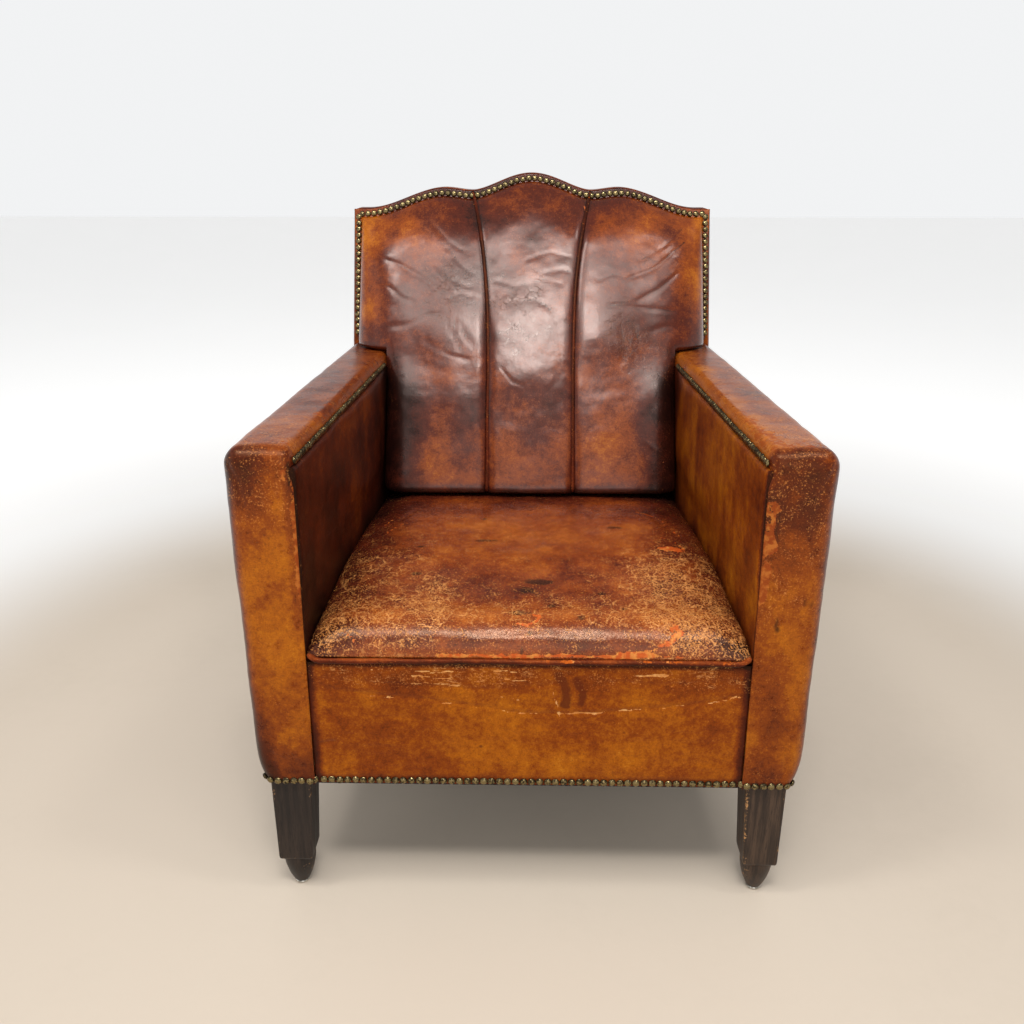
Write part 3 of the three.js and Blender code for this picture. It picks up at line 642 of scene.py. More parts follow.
@dataclass(frozen=True)
class Cloth:
    """A plain weave: threads that pass over and under, each a shade of its own."""

    name: str
    light: str
    dark: str
    thread: float  # spacing of the threads

    def material(self) -> bpy.types.Material:
        """Builds the node tree."""
        r = Recipe(self.name)
        waves = []
        for axis in ("X", "Y"):
            settings = {"wave_type": "BANDS", "bands_direction": axis}
            links = {"Vector": r.mm, "Scale": 0.314 / self.thread, "Distortion": 0.6, "Detail": 1.0}
            waves.append(r.add("TexWave", settings, links).outputs["Fac"])
        weave = r.sum("MULTIPLY", waves[0], waves[1])
        shade = r.sum("MULTIPLY_ADD", r.clouds(self.thread * 6.0, 3.0), 0.7, r.sum("MULTIPLY", weave, 0.5))
        base = r.blend(r.ramp(shade, 0.25, 0.8), linear(self.dark), linear(self.light))
        height = r.sum("MULTIPLY", weave, 0.35 * self.thread)
        return r.finish(height, {"Base Color": base, "Roughness": 0.92})


COVER_STOPS = (
    (0.0, "#170806"),
    (0.16, "#2b0f09"),
    (0.34, "#48190b"),
    (0.52, "#75340c"),
    (0.7, "#9c560e"),
    (0.86, "#b8761f"),
    (1.0, "#cf9350"),
)
SEAT_STOPS = (
    (0.0, "#180907"),
    (0.18, "#2f100a"),
    (0.38, "#501c0e"),
    (0.56, "#783412"),
    (0.74, "#9a5019"),
    (1.0, "#bd7838"),
)

FINISHES: dict[str, Any] = {
    # The back's cracks are drawn near black: painted shade in the crack grooves.
    "back": Sheepskin(
        "burnished_sheepskin_back", COVER_STOPS, crack="#241009", crack_cell=12.0, crack_depth=0.17, relief=0.4, speckle=0.1, shine=0.23,
        specular=0.44,
        gleam="#ffe6dc",
    ),
    "arm": Sheepskin("burnished_sheepskin_arms", COVER_STOPS, bare="#7f3510", bare_pale="#a35c24", crack_cell=7.0, speckle=0.5, shine=0.28, specular=0.46),
    "inside_arm": Sheepskin("burnished_sheepskin_inside_arms", COVER_STOPS, crack_cell=9.0, speckle=0.3, shine=0.38),
    "band": Sheepskin(
        "burnished_sheepskin_band", COVER_STOPS, bare="#b9763a", bare_pale="#d09a5d", crack="#cf9355", stain="#4e1d0d",
        crack_cell=15.0,
        crack_stretch=(0.3, 1.0, 3.0), shine=0.38,
    ),
    "seat": Sheepskin("burnished_sheepskin_seat", SEAT_STOPS, bare="#b1480f", bare_pale="#c67a34", crack="#cb8a4c",
        crack_cell=15.0, crack_width=0.075, speckle=0.75, shine=0.26, specular=0.6, gleam="#f4c8a8"),
    "outside": Sheepskin("burnished_sheepskin_outside", COVER_STOPS, crack_cell=16.0, speckle=0.3, shine=0.38),
    "welt": Sheepskin("rolled_sheepskin_welt", SEAT_STOPS, crack_cell=6.0, shine=0.34),
    "leg": Wood("brown_stained_beech", "#49372a", "#2b2019", "#1c1511", "#a97c4e", 0.36),
    "leg_dark": Wood("dark_stained_beech", "#31261f", "#1e1714", "#130f0d", "#8a6644", 0.38),
    "beech": Wood("planed_beech", "#d3ad80", "#bb9061", "#8e6338", "#d3ad80", 0.6),
    "brass": Metal("antiqued_brass", "#7d6d49", "#30281a", 0.55, 0.24),
    "nickel": Metal("nickel_plate", "#cfcdc6", "#8d8a82", 0.2, 0.22, 6.0),
    "steel": Metal("drawn_spring_steel", "#9a9ca0", "#54514d", 0.4, 0.34, 9.0),
    "jute": Cloth("jute_weave", "#b79b6c", "#7b6440", 2.2),
    "fibre": Cloth("cotton_wadding", "#8d7c66", "#5e5040", 3.0),
    "cambric": Cloth("black_cambric", "#2a2827", "#141313", 1.0),
}


# ---- Seat ------------------------------------------------------------------------------------


def arm_inner(z: Any) -> Any:
    """The arm's width at a height."""
    return mix(ARM_FOOT, ARM_WIDTH, (z - BODY_BOTTOM) / (ARM_TOP - BODY_BOTTOM))


@dataclass
class Seat:
    """The sprung seat: a crowned cover that rolls over the front edge onto a welt."""

    front: float = 3.0
    rear: float = 486.0
    edge: float = 365.0
    roll: float = 50.0
    roll_rise: float = 42.0
    side_roll: float = 60.0
    spacing: float = 2.1
    welt_radius: float = 3.5

    def half(self, y: Any) -> Any:
        """Half the seat's width at a depth."""
        return CHAIR_HALF - arm_inner(390.0) - ARM_TAPER * y - 1.0

    def surface(self) -> tuple[Array, Array]:
        """The cover's grid of points, and each row's distance over the leather from the welt."""
        turn = np.linspace(0.0, math.pi / 2.0, 36)[:-1]
        y = np.concatenate([self.front + self.roll * (1.0 - np.cos(turn)), steps(self.front + self.roll, self.rear, self.spacing)])
        middle = self.edge + self.roll_rise * round_off((y - self.front) / self.roll)
        middle = middle + 16.0 * smooth((y - 40.0) / 180.0) - 8.0 * smooth((y - 300.0) / 180.0)
        along = np.concatenate([[0.0], np.cumsum(np.hypot(np.diff(y), np.diff(middle)))])
        bend = self.side_roll * (1.0 - np.cos(np.linspace(0.0, math.pi / 2.0, 26)[:-1]))
        centre = np.linspace(0.0, 1.0, 200)
        half = self.half(y)[:, None]
        x = np.hstack(
            [-half + bend[None], mix(-half + self.side_roll, half - self.side_roll, centre[None]), (half - bend[None])[:, ::-1]]
        )
        drop = 24.0 * (1.0 - round_off((half - np.abs(x)) / self.side_roll)) + 4.0 * (x / half) ** 2
        z = middle[:, None] - drop * np.clip((middle[:, None] - self.edge) / 40.0, 0.0, 1.0)
        return np.stack([x, np.broadcast_to(y[:, None], x.shape), z], axis=-1), along

    def cover(self) -> Shell:
        """The seat's closed cover, with the hollows and creases of use."""
        grid, along = self.surface()
        rows, columns = grid.shape[:2]
        shell = cushion(grid, (0.0, 250.0, 332.0))
        x = shell.points[:, 0]
        s = np.append(np.repeat(along, columns), 200.0)
        inner = np.clip((self.half(shell.points[:, 1]) - np.abs(x)) / 30.0, 0.0, 1.0) * np.clip(s / 30.0, 0.0, 1.0)
        inner[-1] = 0.0
        lift = 1.2 * noise(shell.points, 75.0, 3, 2) + 0.4 * noise(shell.points, 22.0, 4, 2)
        lift -= 3.2 * spot(x, s, (0.0, 260.0), (130.0, 120.0))
        for path, depth, width in self.creases():
            lift -= depth * stroke(x, s, path, width)
        shell.points[:, 2] += lift * inner
        shell.paint = self.wear(x, s, shell.points)
        return shell

    def creases(self) -> list[tuple[list[tuple[float, float]], float, float]]:
        """Folds pressed into the seat: a path over x and distance from the welt, depth, width."""
        return [
            ([(-225, 95), (-190, 62), (-160, 48)], 1.1, 4.0),
            ([(-232, 150), (-200, 112), (-172, 96)], 0.9, 4.0),
            ([(228, 96), (196, 66), (170, 40)], 1.2, 4.0),
            ([(236, 160), (205, 118), (188, 88)], 1.0, 4.0),
            ([(214, 300), (196, 330), (186, 380)], 1.0, 4.5),
            ([(-212, 310), (-190, 350), (-176, 392)], 1.0, 4.5),
            ([(-60, 30), (20, 36), (90, 28)], 0.6, 5.0),
        ]

    def wear(self, x: Array, s: Array, points: Array) -> dict[Paint, Array]:
        """Red-brown in the middle, darker to the sides and rear as painted shade beside the arms and under the back,
        flaked over the front edge.
        """
        half = self.half(points[:, 1])
        aside = np.abs(x) / half
        tone = 0.55 + 0.07 * noise(points, 60.0, 11, 3) + 0.07 * noise(points, 24.0, 14, 2)
        # painted shade: darker where the seat runs down beside the arms and in under the back
        tone -= 0.26 * smooth((aside - 0.6) / 0.4) + 0.12 * smooth((s - 300.0) / 120.0) + 0.26 * smooth((s - 430.0) / 60.0)
        tone -= 0.1 * spot(x, s, (-90.0, 130.0), (60.0, 40.0)) + 0.06 * spot(x, s, (60.0, 150.0), (120.0, 30.0))
        tone += 0.1 * spot(x, s, (10.0, 300.0), (150.0, 90.0)) + 0.1 * np.exp(-(((s - 62.0) / 20.0) ** 2))
        tone -= 0.14 * np.exp(-(((s - 26.0) / 16.0) ** 2))
        rub = 0.12 + 0.1 * noise(points, 35.0, 12, 3)
        ragged = 3.0 * noise(np.column_stack([x, s, s]), 16.0, 13, 3)
        rub += 0.5 * np.exp(-(((s - 4.0 - ragged) / 3.4) ** 2)) * smooth((x + 150.0) / 60.0) * smooth((215.0 - x) / 30.0)
        rub += 0.4 * stroke(x, s, [(110, 6), (150, 12), (176, 26), (186, 36)], 5.0)
        rub += 0.36 * spot(x, s, (176.0, 44.0), (12.0, 14.0), -24.0) + 0.3 * spot(x, s, (206.0, 14.0), (10.0, 6.0))
        rub += 0.52 * stroke(x, s, [(-14, 46), (-2, 44), (10, 50), (14, 58), (6, 60)], 2.4)
        rub += 0.4 * stroke(x, s, [(-206, 10), (-216, 26), (-226, 34)], 2.2)
        rub += 0.48 * spot(x, s, (196.0, 236.0), (24.0, 10.0), -8.0) + 0.1 * spot(x, s, (0.0, 70.0), (200.0, 14.0))
        for k, (cx, cs) in enumerate(((-206, 330), (-196, 300), (206, 250), (214, 284), (204, 312), (190, 350))):
            lean = math.copysign(24.0, cx)
            curve = [(cx - lean, cs + 34), (cx, cs + 16), (cx + 0.5 * lean, cs - 12)]
            rub += (0.36 + 0.03 * (k % 3)) * stroke(x, s, curve, 2.0)
        crack = 0.42 + 0.14 * smooth((aside - 0.3) / 0.4) * smooth((300.0 - s) / 120.0)
        crack += 0.16 * np.exp(-(((s - 70.0) / 40.0) ** 2)) - 0.12 * smooth((s - 300.0) / 80.0)
        crack += 0.2 * spot(x, s, (200.0, 40.0), (34.0, 36.0)) + 0.26 * spot(x, s, (-118.0, 96.0), (20.0, 60.0))
        crack += 0.22 * spot(x, s, (180.0, 150.0), (50.0, 70.0))
        stain = 0.1 + 0.5 * spot(x, s, (-60.0, 262.0), (40.0, 6.0), 6.0) + 0.24 * spot(x, s, (0.0, 150.0), (34.0, 26.0))
        for cx, cs, wide, deep in (
            (2.0, 34.0, 6.0, 7.0), (-12.0, 66.0, 20.0, 7.0), (-6.0, 118.0, 20.0, 10.0), (30.0, 82.0, 10.0, 7.0),
            (64.0, 56.0, 8.0, 8.0), (-150.0, 160.0, 13.0, 7.0), (94.0, 112.0, 10.0, 6.0), (-8.0, 12.0, 4.0, 9.0),
            (124.0, 314.0, 16.0, 8.0), (-70.0, 346.0, 8.0, 7.0), (118.0, 76.0, 7.0, 6.0), (-148.0, 70.0, 8.0, 5.0),
            (-152.0, 238.0, 9.0, 5.0), (20.0, 140.0, 22.0, 7.0),
        ):
            stain = stain + 0.5 * spot(x, s, (cx, cs), (wide, deep))
        return {Paint.TONE: tone, Paint.RUB: rub, Paint.CRACK: crack, Paint.STAIN: stain}

    def welt(self) -> Shell:
        """The piped welt under the seat's front edge."""
        reach = CHAIR_HALF - arm_inner(361.5) - 2.5
        x = steps(-reach, reach, 2.4)
        flat = np.column_stack([x, np.full(len(x), 1.6), np.full(len(x), 361.4)])
        flat[:, 2] += 9.0 * np.clip((np.abs(x) - reach + 16.0) / 16.0, 0.0, 1.0) ** 2.2
        flat[:, 2] += 0.7 * noise(flat, 70.0, 21, 2)
        flat[:, 1] += 0.4 * noise(flat, 50.0, 22, 2)
        cord = tube(flat, self.welt_radius, 14, 0.05)
        along = cord.points[:, 0]
        rub = 0.1 + 0.24 * noise(cord.points, 24.0, 23, 3)
        rub += 0.16 * smooth((along + 120.0) / 60.0) * smooth((cord.points[:, 2] - 361.0) / 3.0)
        zero = np.zeros(len(along))
        tone = 0.3 + 0.2 * smooth((cord.points[:, 2] - 361.0) / 3.0) + 0.1 * noise(cord.points, 40.0, 24, 2)
        cord.paint = {Paint.TONE: tone, Paint.RUB: rub, Paint.CRACK: zero + 0.3, Paint.STAIN: zero + 0.1}
        return cord

    def build(self, finishes: dict[str, bpy.types.Material]) -> None:
        """Makes the seat and its welt."""
        seat = Workshop.place("seat", self.cover(), finishes["seat"], "seat_leather", ["seat_cover", "seat_padding"])
        Workshop.place("seat_front_welt", self.welt(), finishes["welt"], "welt_leather", ["seat_welt"])


@dataclass
class FrontBand:
    """The leather band between the arms, below the seat: pulled tight, and dried in the upper third."""

    face: float = 4.5
    low: float = BODY_BOTTOM + 1.0
    high: float = 357.0
    thickness: float = 2.2
    spacing: float = 2.0

    def sheet(self) -> Shell:
        """The band as a closed sheet with its own slight fullness."""
        half = CHAIR_HALF - ARM_FOOT - 1.0
        across, up = steps(-half, half, self.spacing), steps(self.low, self.high, self.spacing)
        x, z = np.meshgrid(across, up)
        grid = np.stack([x, np.full_like(x, self.face), z], axis=-1)
        inner = round_off((half - np.abs(x)) / 26.0) * round_off((z - self.low - 9.0) / 16.0)
        inner = inner * round_off((self.high - z) / 14.0)
        flat = grid.reshape(-1, 3)
        wave = 1.1 * noise(flat, 90.0, 31, 2) + 0.25 * noise(flat * [0.5, 1.0, 2.2], 14.0, 32, 2)
        for path, depth, width in (
            ([(-274, 230), (-262, 240), (-246, 243)], 1.6, 3.4),
            ([(-250, 320), (-120, 306), (3, 287), (90, 290), (200, 302), (262, 316)], 0.9, 3.0),
            ([(-262, 336), (-140, 326), (-40, 322), (30, 330)], 0.6, 3.0),
            ([(60, 338), (160, 330), (262, 338)], 0.6, 3.0),
        ):
            wave -= depth * stroke(flat[:, 0], flat[:, 2], path, width)
        grid[..., 1] -= 2.0 * inner + wave.reshape(x.shape) * inner
        return backed(grid, (0.0, self.thickness, 0.0))

    def splits(self) -> list[list[tuple[float, float]]]:
        """Long thin splits in the dried upper part."""
        return [
            [(-250, 318), (-120, 304), (3, 287), (90, 290), (200, 302), (262, 314)],
            [(-256, 346), (-200, 350), (-130, 346), (-60, 349), (20, 346)],
            [(-230, 338), (-160, 341), (-96, 337)],
            [(-80, 333), (-20, 336), (50, 333), (110, 337)],
            [(-190, 327), (-120, 330), (-70, 326)],
            [(130, 342), (190, 347), (250, 343)],
            [(-40, 312), (-4, 306), (16, 300)],
            [(30, 322), (36, 300), (40, 282)],
        ]

    def wear(self, points: Array) -> dict[Paint, Array]:
        """Amber, with splits along the upper third, a dark stain, darker at the ends by the arms, and painted shade
        under the welt.
        """
        x, z = points[:, 0], points[:, 2]
        tone = 0.565 + 0.08 * noise(points, 80.0, 33, 3) - 0.06 * smooth((z - 300.0) / 34.0)
        tone -= 0.34 * smooth((np.abs(x) - 258.0) / 14.0) + 0.14 * smooth((196.0 - z) / 10.0)
        tone += 0.08 * spot(x, z, (40.0, 222.0), (120.0, 30.0)) - 0.08 * spot(x, z, (225.0, 300.0), (60.0, 60.0))
        # painted shade under the seat's welt
        tone -= 0.3 * smooth((z - 351.0) / 5.0)
        crack = 0.1 + 0.38 * smooth((z - 306.0) / 30.0) + 0.1 * noise(points, 60.0, 34, 2)
        rub = 0.08 + 0.08 * noise(points, 40.0, 35, 3)
        broken = 0.55 + 0.45 * smooth(noise(points, 26.0, 37, 2) / 0.3)
        ragged = 1.6 * noise(points, 9.0, 38, 2)
        for path in self.splits():
            rub += 0.54 * stroke(x, z + ragged, path, 1.5) * broken
        stain = 0.06 + 0.2 * spot(x, z, (-35.0, 240.0), (60.0, 8.0))
        stain += 0.66 * stroke(x, z, [(38, 342), (46, 320), (46, 300)], 8.5)
        stain += 0.62 * stroke(x, z, [(60, 336), (68, 318), (66, 302)], 7.5)
        for cx, cz in ((-60.0, 238.0), (-8.0, 232.0), (-96.0, 250.0), (120.0, 262.0)):
            stain = stain + 0.4 * spot(x, z, (cx, cz), (3.0, 2.6))
        return {Paint.TONE: tone, Paint.RUB: rub, Paint.CRACK: crack, Paint.STAIN: stain}

    def build(self, finishes: dict[str, bpy.types.Material]) -> None:
        """Makes the band."""
        shell = self.sheet()
        shell.paint = self.wear(shell.points)
        band = Workshop.place("front_band_cover", shell, finishes["band"], "cover_leather", ["front_band"])


# ---- Arms ------------------------------------------------------------------------------------


@dataclass
class Arm:
    """One padded arm: a straight block with rounded edges, its foot tucked under on the outside."""

    side: Side
    spacing: float = 2.1
    long_spacing: float = 3.2
    tuck: float = 19.0
    tuck_rise: float = 50.0
    wrap: float = 12.0  # how far the front and top covers run on round the inner edges
    nail_line: float = 614.0
    radii_low: tuple[float, float, float] = (20.0, 19.0, 1e-6)  # outer side, front, foot
    radii_high: tuple[float, float, float] = (13.0, 1.0, 22.0)  # inner side, rear, top
    seam_radius: float = 3.0

    def form(self) -> tuple[Shell, Array]:
        """The arm's closed form, with its box coordinates: across from outside, along, and up."""
        length = 640.0
        xs = np.concatenate([[0.0, 1.2], steps(2.6, ARM_WIDTH - 2.4, self.spacing), [ARM_WIDTH - 1.1, ARM_WIDTH]])
        ys = np.concatenate([steps(0.0, 16.0, 1.6), steps(16.0, length, self.long_spacing)[1:]])
        zs = np.concatenate([steps(BODY_BOTTOM, 600.0, 2.4), steps(600.0, ARM_TOP, 1.6)[1:]])
        nx, ny, nz = len(xs), len(ys), len(zs)
        first_y = int(np.searchsorted(ys, self.wrap))
        last_z = int(np.searchsorted(zs, self.nail_line - 16.0))
        hidden = {
            "x1": (first_y, ny - 2, 1, last_z),
            "z0": (1, ny - 2, 1, nx - 2),
            "y1": (1, nz - 2, 1, nx - 2),
        }
        shell = block(xs, ys, zs, hidden)
        low = np.array([0.0, 0.0, BODY_BOTTOM])
        high = np.array([ARM_WIDTH, length, ARM_TOP])
        w, _, z = shell.points.T
        crown = smooth((z - 582.0) / 26.0)
        inner = smooth((w - 56.0) / 14.0) * (1.0 - crown)
        first, last = np.tile(self.radii_low, (len(w), 1)), np.tile(self.radii_high, (len(w), 1))
        first[:, 1] = mix(self.radii_low[1], self.seam_radius, inner)
        last[:, 0] = mix(self.seam_radius, self.radii_high[0], crown)
        core = np.clip(shell.points, low + first, high - last)
        away = shell.points - core
        reach = np.linalg.norm(away / np.where(away < 0.0, first, last), axis=1, keepdims=True)
        box = core + away / np.maximum(reach, 1e-9) * (reach > 1e-9)
        w, y, z = box.T
        end = BACK_BASE + BACK_LEAN * (z - ARM_TOP) - 0.8
        box[:, 1] = np.where(y > 60.0, 60.0 + (y - 60.0) / (length - 60.0) * (end - 60.0), y)
        shell.points = self.mapped(*box.T)
        return shell.face_out(), box

    def mapped(self, w: Array, y: Array, z: Array) -> Array:
        """Box coordinates to the arm's own: narrower towards the foot, and tucked under outside."""
        lower = np.clip((self.tuck_rise - (z - BODY_BOTTOM)) / self.tuck_rise, 0.0, 1.0)
        across = w * arm_inner(z) / ARM_WIDTH
        across = across + self.tuck * (1.0 - np.sqrt(1.0 - lower**2 * 0.98)) * (1.0 - across / ARM_WIDTH)
        return np.column_stack([across, y, z])

    def soften(self, shell: Shell, box: Array) -> None:
        """Gives the cover the fullness and slight waves of leather over padding."""
        w, y, z = box.T
        normal = shell.normals()
        seed = 41 if self.side is Side.LEFT else 47
        lift = 0.7 * noise(shell.points, 80.0, seed, 2) + 0.3 * noise(shell.points, 24.0, seed + 1, 2)
        rise = np.clip((z - BODY_BOTTOM - 14.0) / 30.0, 0.0, 1.0)
        front = smooth((22.0 - y) / 14.0)
        crown = 1.2 * front * np.sin(np.pi * np.clip(w / ARM_WIDTH, 0.0, 1.0))
        top = smooth((z - ARM_TOP + 8.0) / 6.0)
        crown += 2.2 * top * np.sin(np.pi * np.clip(w / ARM_WIDTH, 0.0, 1.0)) * (1.0 - front)
        outer = smooth((8.0 - w) / 6.0)
        crown += 1.2 * outer * np.sin(np.pi * np.clip((z - BODY_BOTTOM) / 450.0, 0.0, 1.0)) * (1.0 - front)
        inner = smooth((w - ARM_WIDTH + 5.0) / 4.0)
        for path, depth, width in self.folds():
            lift -= depth * stroke(w, z, path, width) * front
        under = smooth((y - 500.0) / 60.0) * smooth((z - ARM_TOP + 24.0) / 16.0)
        lift = (lift + crown) * rise * (1.0 - 0.9 * inner) * (1.0 - 0.9 * under)
        shell.points = shell.points + normal * lift[:, None]
        shell.points[:, 0] -= 3.0 * smooth((w - ARM_WIDTH + 3.0) / 2.0) * smooth((610.0 - z) / 4.0) * smooth((y - 2.0) / 3.0)
        shell.points[:, 2] = np.minimum(shell.points[:, 2], ARM_TOP + 4.0)

    def folds(self) -> list[tuple[list[tuple[float, float]], float, float]]:
        """Pleats where the front is pulled round its top and bottom corners."""
        return [
            ([(10.0, 612.0), (20.0, 590.0), (24.0, 560.0)], 0.8, 3.4),
            ([(72.0, 616.0), (64.0, 596.0), (60.0, 572.0)], 0.8, 3.4),
            ([(30.0, 186.0), (26.0, 205.0), (28.0, 226.0)], 0.7, 3.0),
            ([(58.0, 186.0), (60.0, 204.0), (57.0, 220.0)], 0.6, 3.0),
        ]

    def wear(self, box: Array, points: Array) -> dict[Paint, Array]:
        """The arm's colours: each face by where hands, sleeves and light have reached it."""
        w, y, z = box.T
        front = smooth((24.0 - y) / 16.0)
        top = smooth((z - ARM_TOP + 16.0) / 12.0) * (1.0 - front)
        outer = 1.0 - np.clip(front + top, 0.0, 1.0)
        paint = {p: np.zeros(len(w)) for p in Paint}
        for share, part in ((front, self.front_wear(w, z, points)), (top, self.top_wear(w, y, points)), (outer, self.outer_wear(y, z, points))):
            for p in Paint:
                paint[p] += share * part[p]
        edge = stroke(y, z, [(2.0, ARM_TOP - 4.0), (2.1, ARM_TOP - 4.0)], 12.0)
        paint[Paint.RUB] += 0.12 * edge
        paint[Paint.TONE] -= 0.34 * smooth((BODY_BOTTOM + 12.0 - z) / 10.0)
        return paint

    def front_wear(self, w: Array, z: Array, points: Array) -> dict[Paint, Array]:
        """The arm's front: dark and speckled at the top, amber below, purple-brown at the foot."""
        inner = ARM_WIDTH - w
        seam = smooth((7.0 - inner) / 6.0) * smooth((612.0 - z) / 8.0) * smooth((z - 366.0) / 8.0)
        if self.side is Side.LEFT:
            tone = 0.6 + 0.08 * noise(points, 55.0, 51, 3)
            tone -= 0.2 * smooth((z - 500.0) / 60.0) * smooth((66.0 - w) / 40.0) + 0.12 * smooth((z - 560.0) / 40.0)
            tone -= 0.36 * smooth((44.0 - w) / 40.0) * smooth((340.0 - z) / 120.0)
            tone -= 0.26 * smooth((13.0 - w) / 12.0) + 0.16 * smooth((250.0 - z) / 60.0)
            tone -= 0.12 * smooth((16.0 - inner) / 10.0) * smooth((z - 350.0) / 60.0)
            rub = 0.12 + 0.1 * noise(points, 26.0, 52, 3) + 0.36 * seam * smooth((z - 400.0) / 60.0)
            rub += 0.16 * spot(w, z, (40.0, 575.0), (34.0, 30.0)) + 0.4 * spot(w, z, (72.0, 600.0), (3.4, 10.0), 8.0)
            rub += 0.16 * stroke(w, z, [(74, 560), (73, 520), (72, 470), (74, 430)], 6.0)
            crack = 0.16 + 0.3 * smooth((z - 500.0) / 60.0)
            stain = 0.08 + 0.6 * stroke(w, z, [(77, 612), (78, 600), (79, 588)], 2.6)
        else:
            tone = 0.57 + 0.08 * noise(points, 50.0, 61, 3)
            tone -= 0.18 * smooth((z - 500.0) / 60.0) * smooth((w - 2.0) / 30.0) + 0.06 * smooth((z - 430.0) / 60.0)
            tone -= 0.2 * smooth((13.0 - w) / 12.0) + 0.14 * smooth((240.0 - z) / 70.0)
            tone -= 0.1 * spot(w, z, (52.0, 300.0), (16.0, 70.0))
            rub = 0.14 + 0.12 * noise(points, 24.0, 62, 3) + 0.2 * seam
            rub += 0.5 * stroke(inner, z, [(9, 568), (10, 545), (8, 516)], 8.0)
            rub += 0.5 * stroke(inner, z, [(9, 520), (7, 490), (6, 466), (5, 448)], 5.0)
            rub += 0.1 * spot(w, z, (30.0, 560.0), (34.0, 60.0))
            rub -= 0.6 * stroke(inner, z, [(15, 556), (13, 534), (17, 524)], 2.0)
            rub -= 0.6 * spot(inner, z, (10.0, 502.0), (5.0, 6.0), 20.0)
            crack = 0.3 + 0.16 * smooth((z - 380.0) / 80.0)
            stain = 0.1 + 0.5 * spot(inner, z, (25.0, 416.0), (5.0, 13.0)) + 0.4 * spot(w, z, (28.0, 449.0), (4.0, 12.0))
            stain += 0.4 * spot(w, z, (18.0, 440.0), (4.0, 12.0)) + 0.5 * stroke(inner, z, [(15, 556), (13, 534), (17, 524)], 2.0)
            stain += 0.5 * spot(inner, z, (10.0, 502.0), (5.0, 6.0), 20.0) + 0.3 * spot(inner, z, (18.0, 462.0), (4.0, 9.0))
        return {Paint.TONE: tone, Paint.RUB: rub, Paint.CRACK: crack, Paint.STAIN: stain}

    def top_wear(self, w: Array, y: Array, points: Array) -> dict[Paint, Array]:
        """The arm's top: dark and glossy outside, tan and scuffed along the inner edge, with painted shade at the rear
        under the back's wing.
        """
        more = 1.0 if self.side is Side.RIGHT else 0.0
        tone = 0.42 + 0.1 * noise(points, 60.0, 71, 3) + (0.06 + 0.07 * more) * smooth((w - 42.0) / 22.0)
        # the fall towards the rear is painted shade under the back's wing
        tone += 0.08 * smooth((160.0 - y) / 100.0) - 0.22 * smooth((y - 560.0) / 80.0)
        tone += 0.06 * more
        rub = 0.18 + 0.1 * noise(points, 26.0, 72 + self.side.value, 3) + 0.16 * smooth((w - 52.0) / 16.0)
        rub += 0.14 * smooth((60.0 - y) / 50.0) + 0.12 * more * smooth((220.0 - y) / 160.0)
        crack = 0.42 + 0.14 * smooth((200.0 - y) / 160.0) + 0.08 * more
        # the dark marks grow at the rear as painted shade under the back's wing
        stain = 0.12 + 0.1 * smooth((y - 600.0) / 50.0)
        return {Paint.TONE: tone, Paint.RUB: rub, Paint.CRACK: crack, Paint.STAIN: stain}

    def outer_wear(self, y: Array, z: Array, points: Array) -> dict[Paint, Array]:
        """The arm's outer side: even oxblood, paler along the top, darker at the hem."""
        tone = 0.42 + 0.12 * noise(points, 110.0, 81, 3) + 0.1 * smooth((z - 540.0) / 60.0)
        tone -= 0.18 * smooth((260.0 - z) / 70.0) + 0.08 * smooth((y - 560.0) / 80.0)
        tone += 0.12 * spot(y, z, (260.0, 420.0), (180.0, 110.0))
        rub = 0.16 + 0.12 * noise(points, 40.0, 82, 3) + 0.08 * smooth((z - 590.0) / 20.0)
        rub += 0.3 * stroke(y, z, [(180, 470), (230, 462), (290, 466)], 1.6)
        crack = 0.32 + 0.12 * noise(points, 120.0, 83, 2)
        stain = 0.12 + 0.1 * smooth((220.0 - z) / 40.0)
        return {Paint.TONE: tone, Paint.RUB: rub, Paint.CRACK: crack, Paint.STAIN: stain}

    def panel(self) -> Shell:
        """The inside panel: a sheet that faces the sitter, slightly full above the seat."""
        low, high, start, end = 364.0, self.nail_line - 6.5, 2.6, 600.0
        y, z = np.meshgrid(np.concatenate([[start, start + 0.8], steps(start + 1.8, end, 2.7)]), steps(low, high, 2.6))
        inner = round_off((y - start) / 14.0) * round_off((high - z) / 12.0)
        full = 3.6 * inner * smooth((z - 432.0) / 50.0) * smooth((560.0 - y) / 90.0)
        flat = np.stack([np.zeros_like(y), y, z], axis=-1).reshape(-1, 3)
        wave = (0.9 * noise(flat, 70.0, 91 + self.side.value, 2)).reshape(y.shape)
        w = arm_inner(z) - 2.2 + 2.2 * round_off((y - start) / 3.0) + full + wave * inner * smooth((z - 440.0) / 30.0)
        return backed(np.stack([w, y, z], axis=-1), (-2.2, 0.0, 0.0))

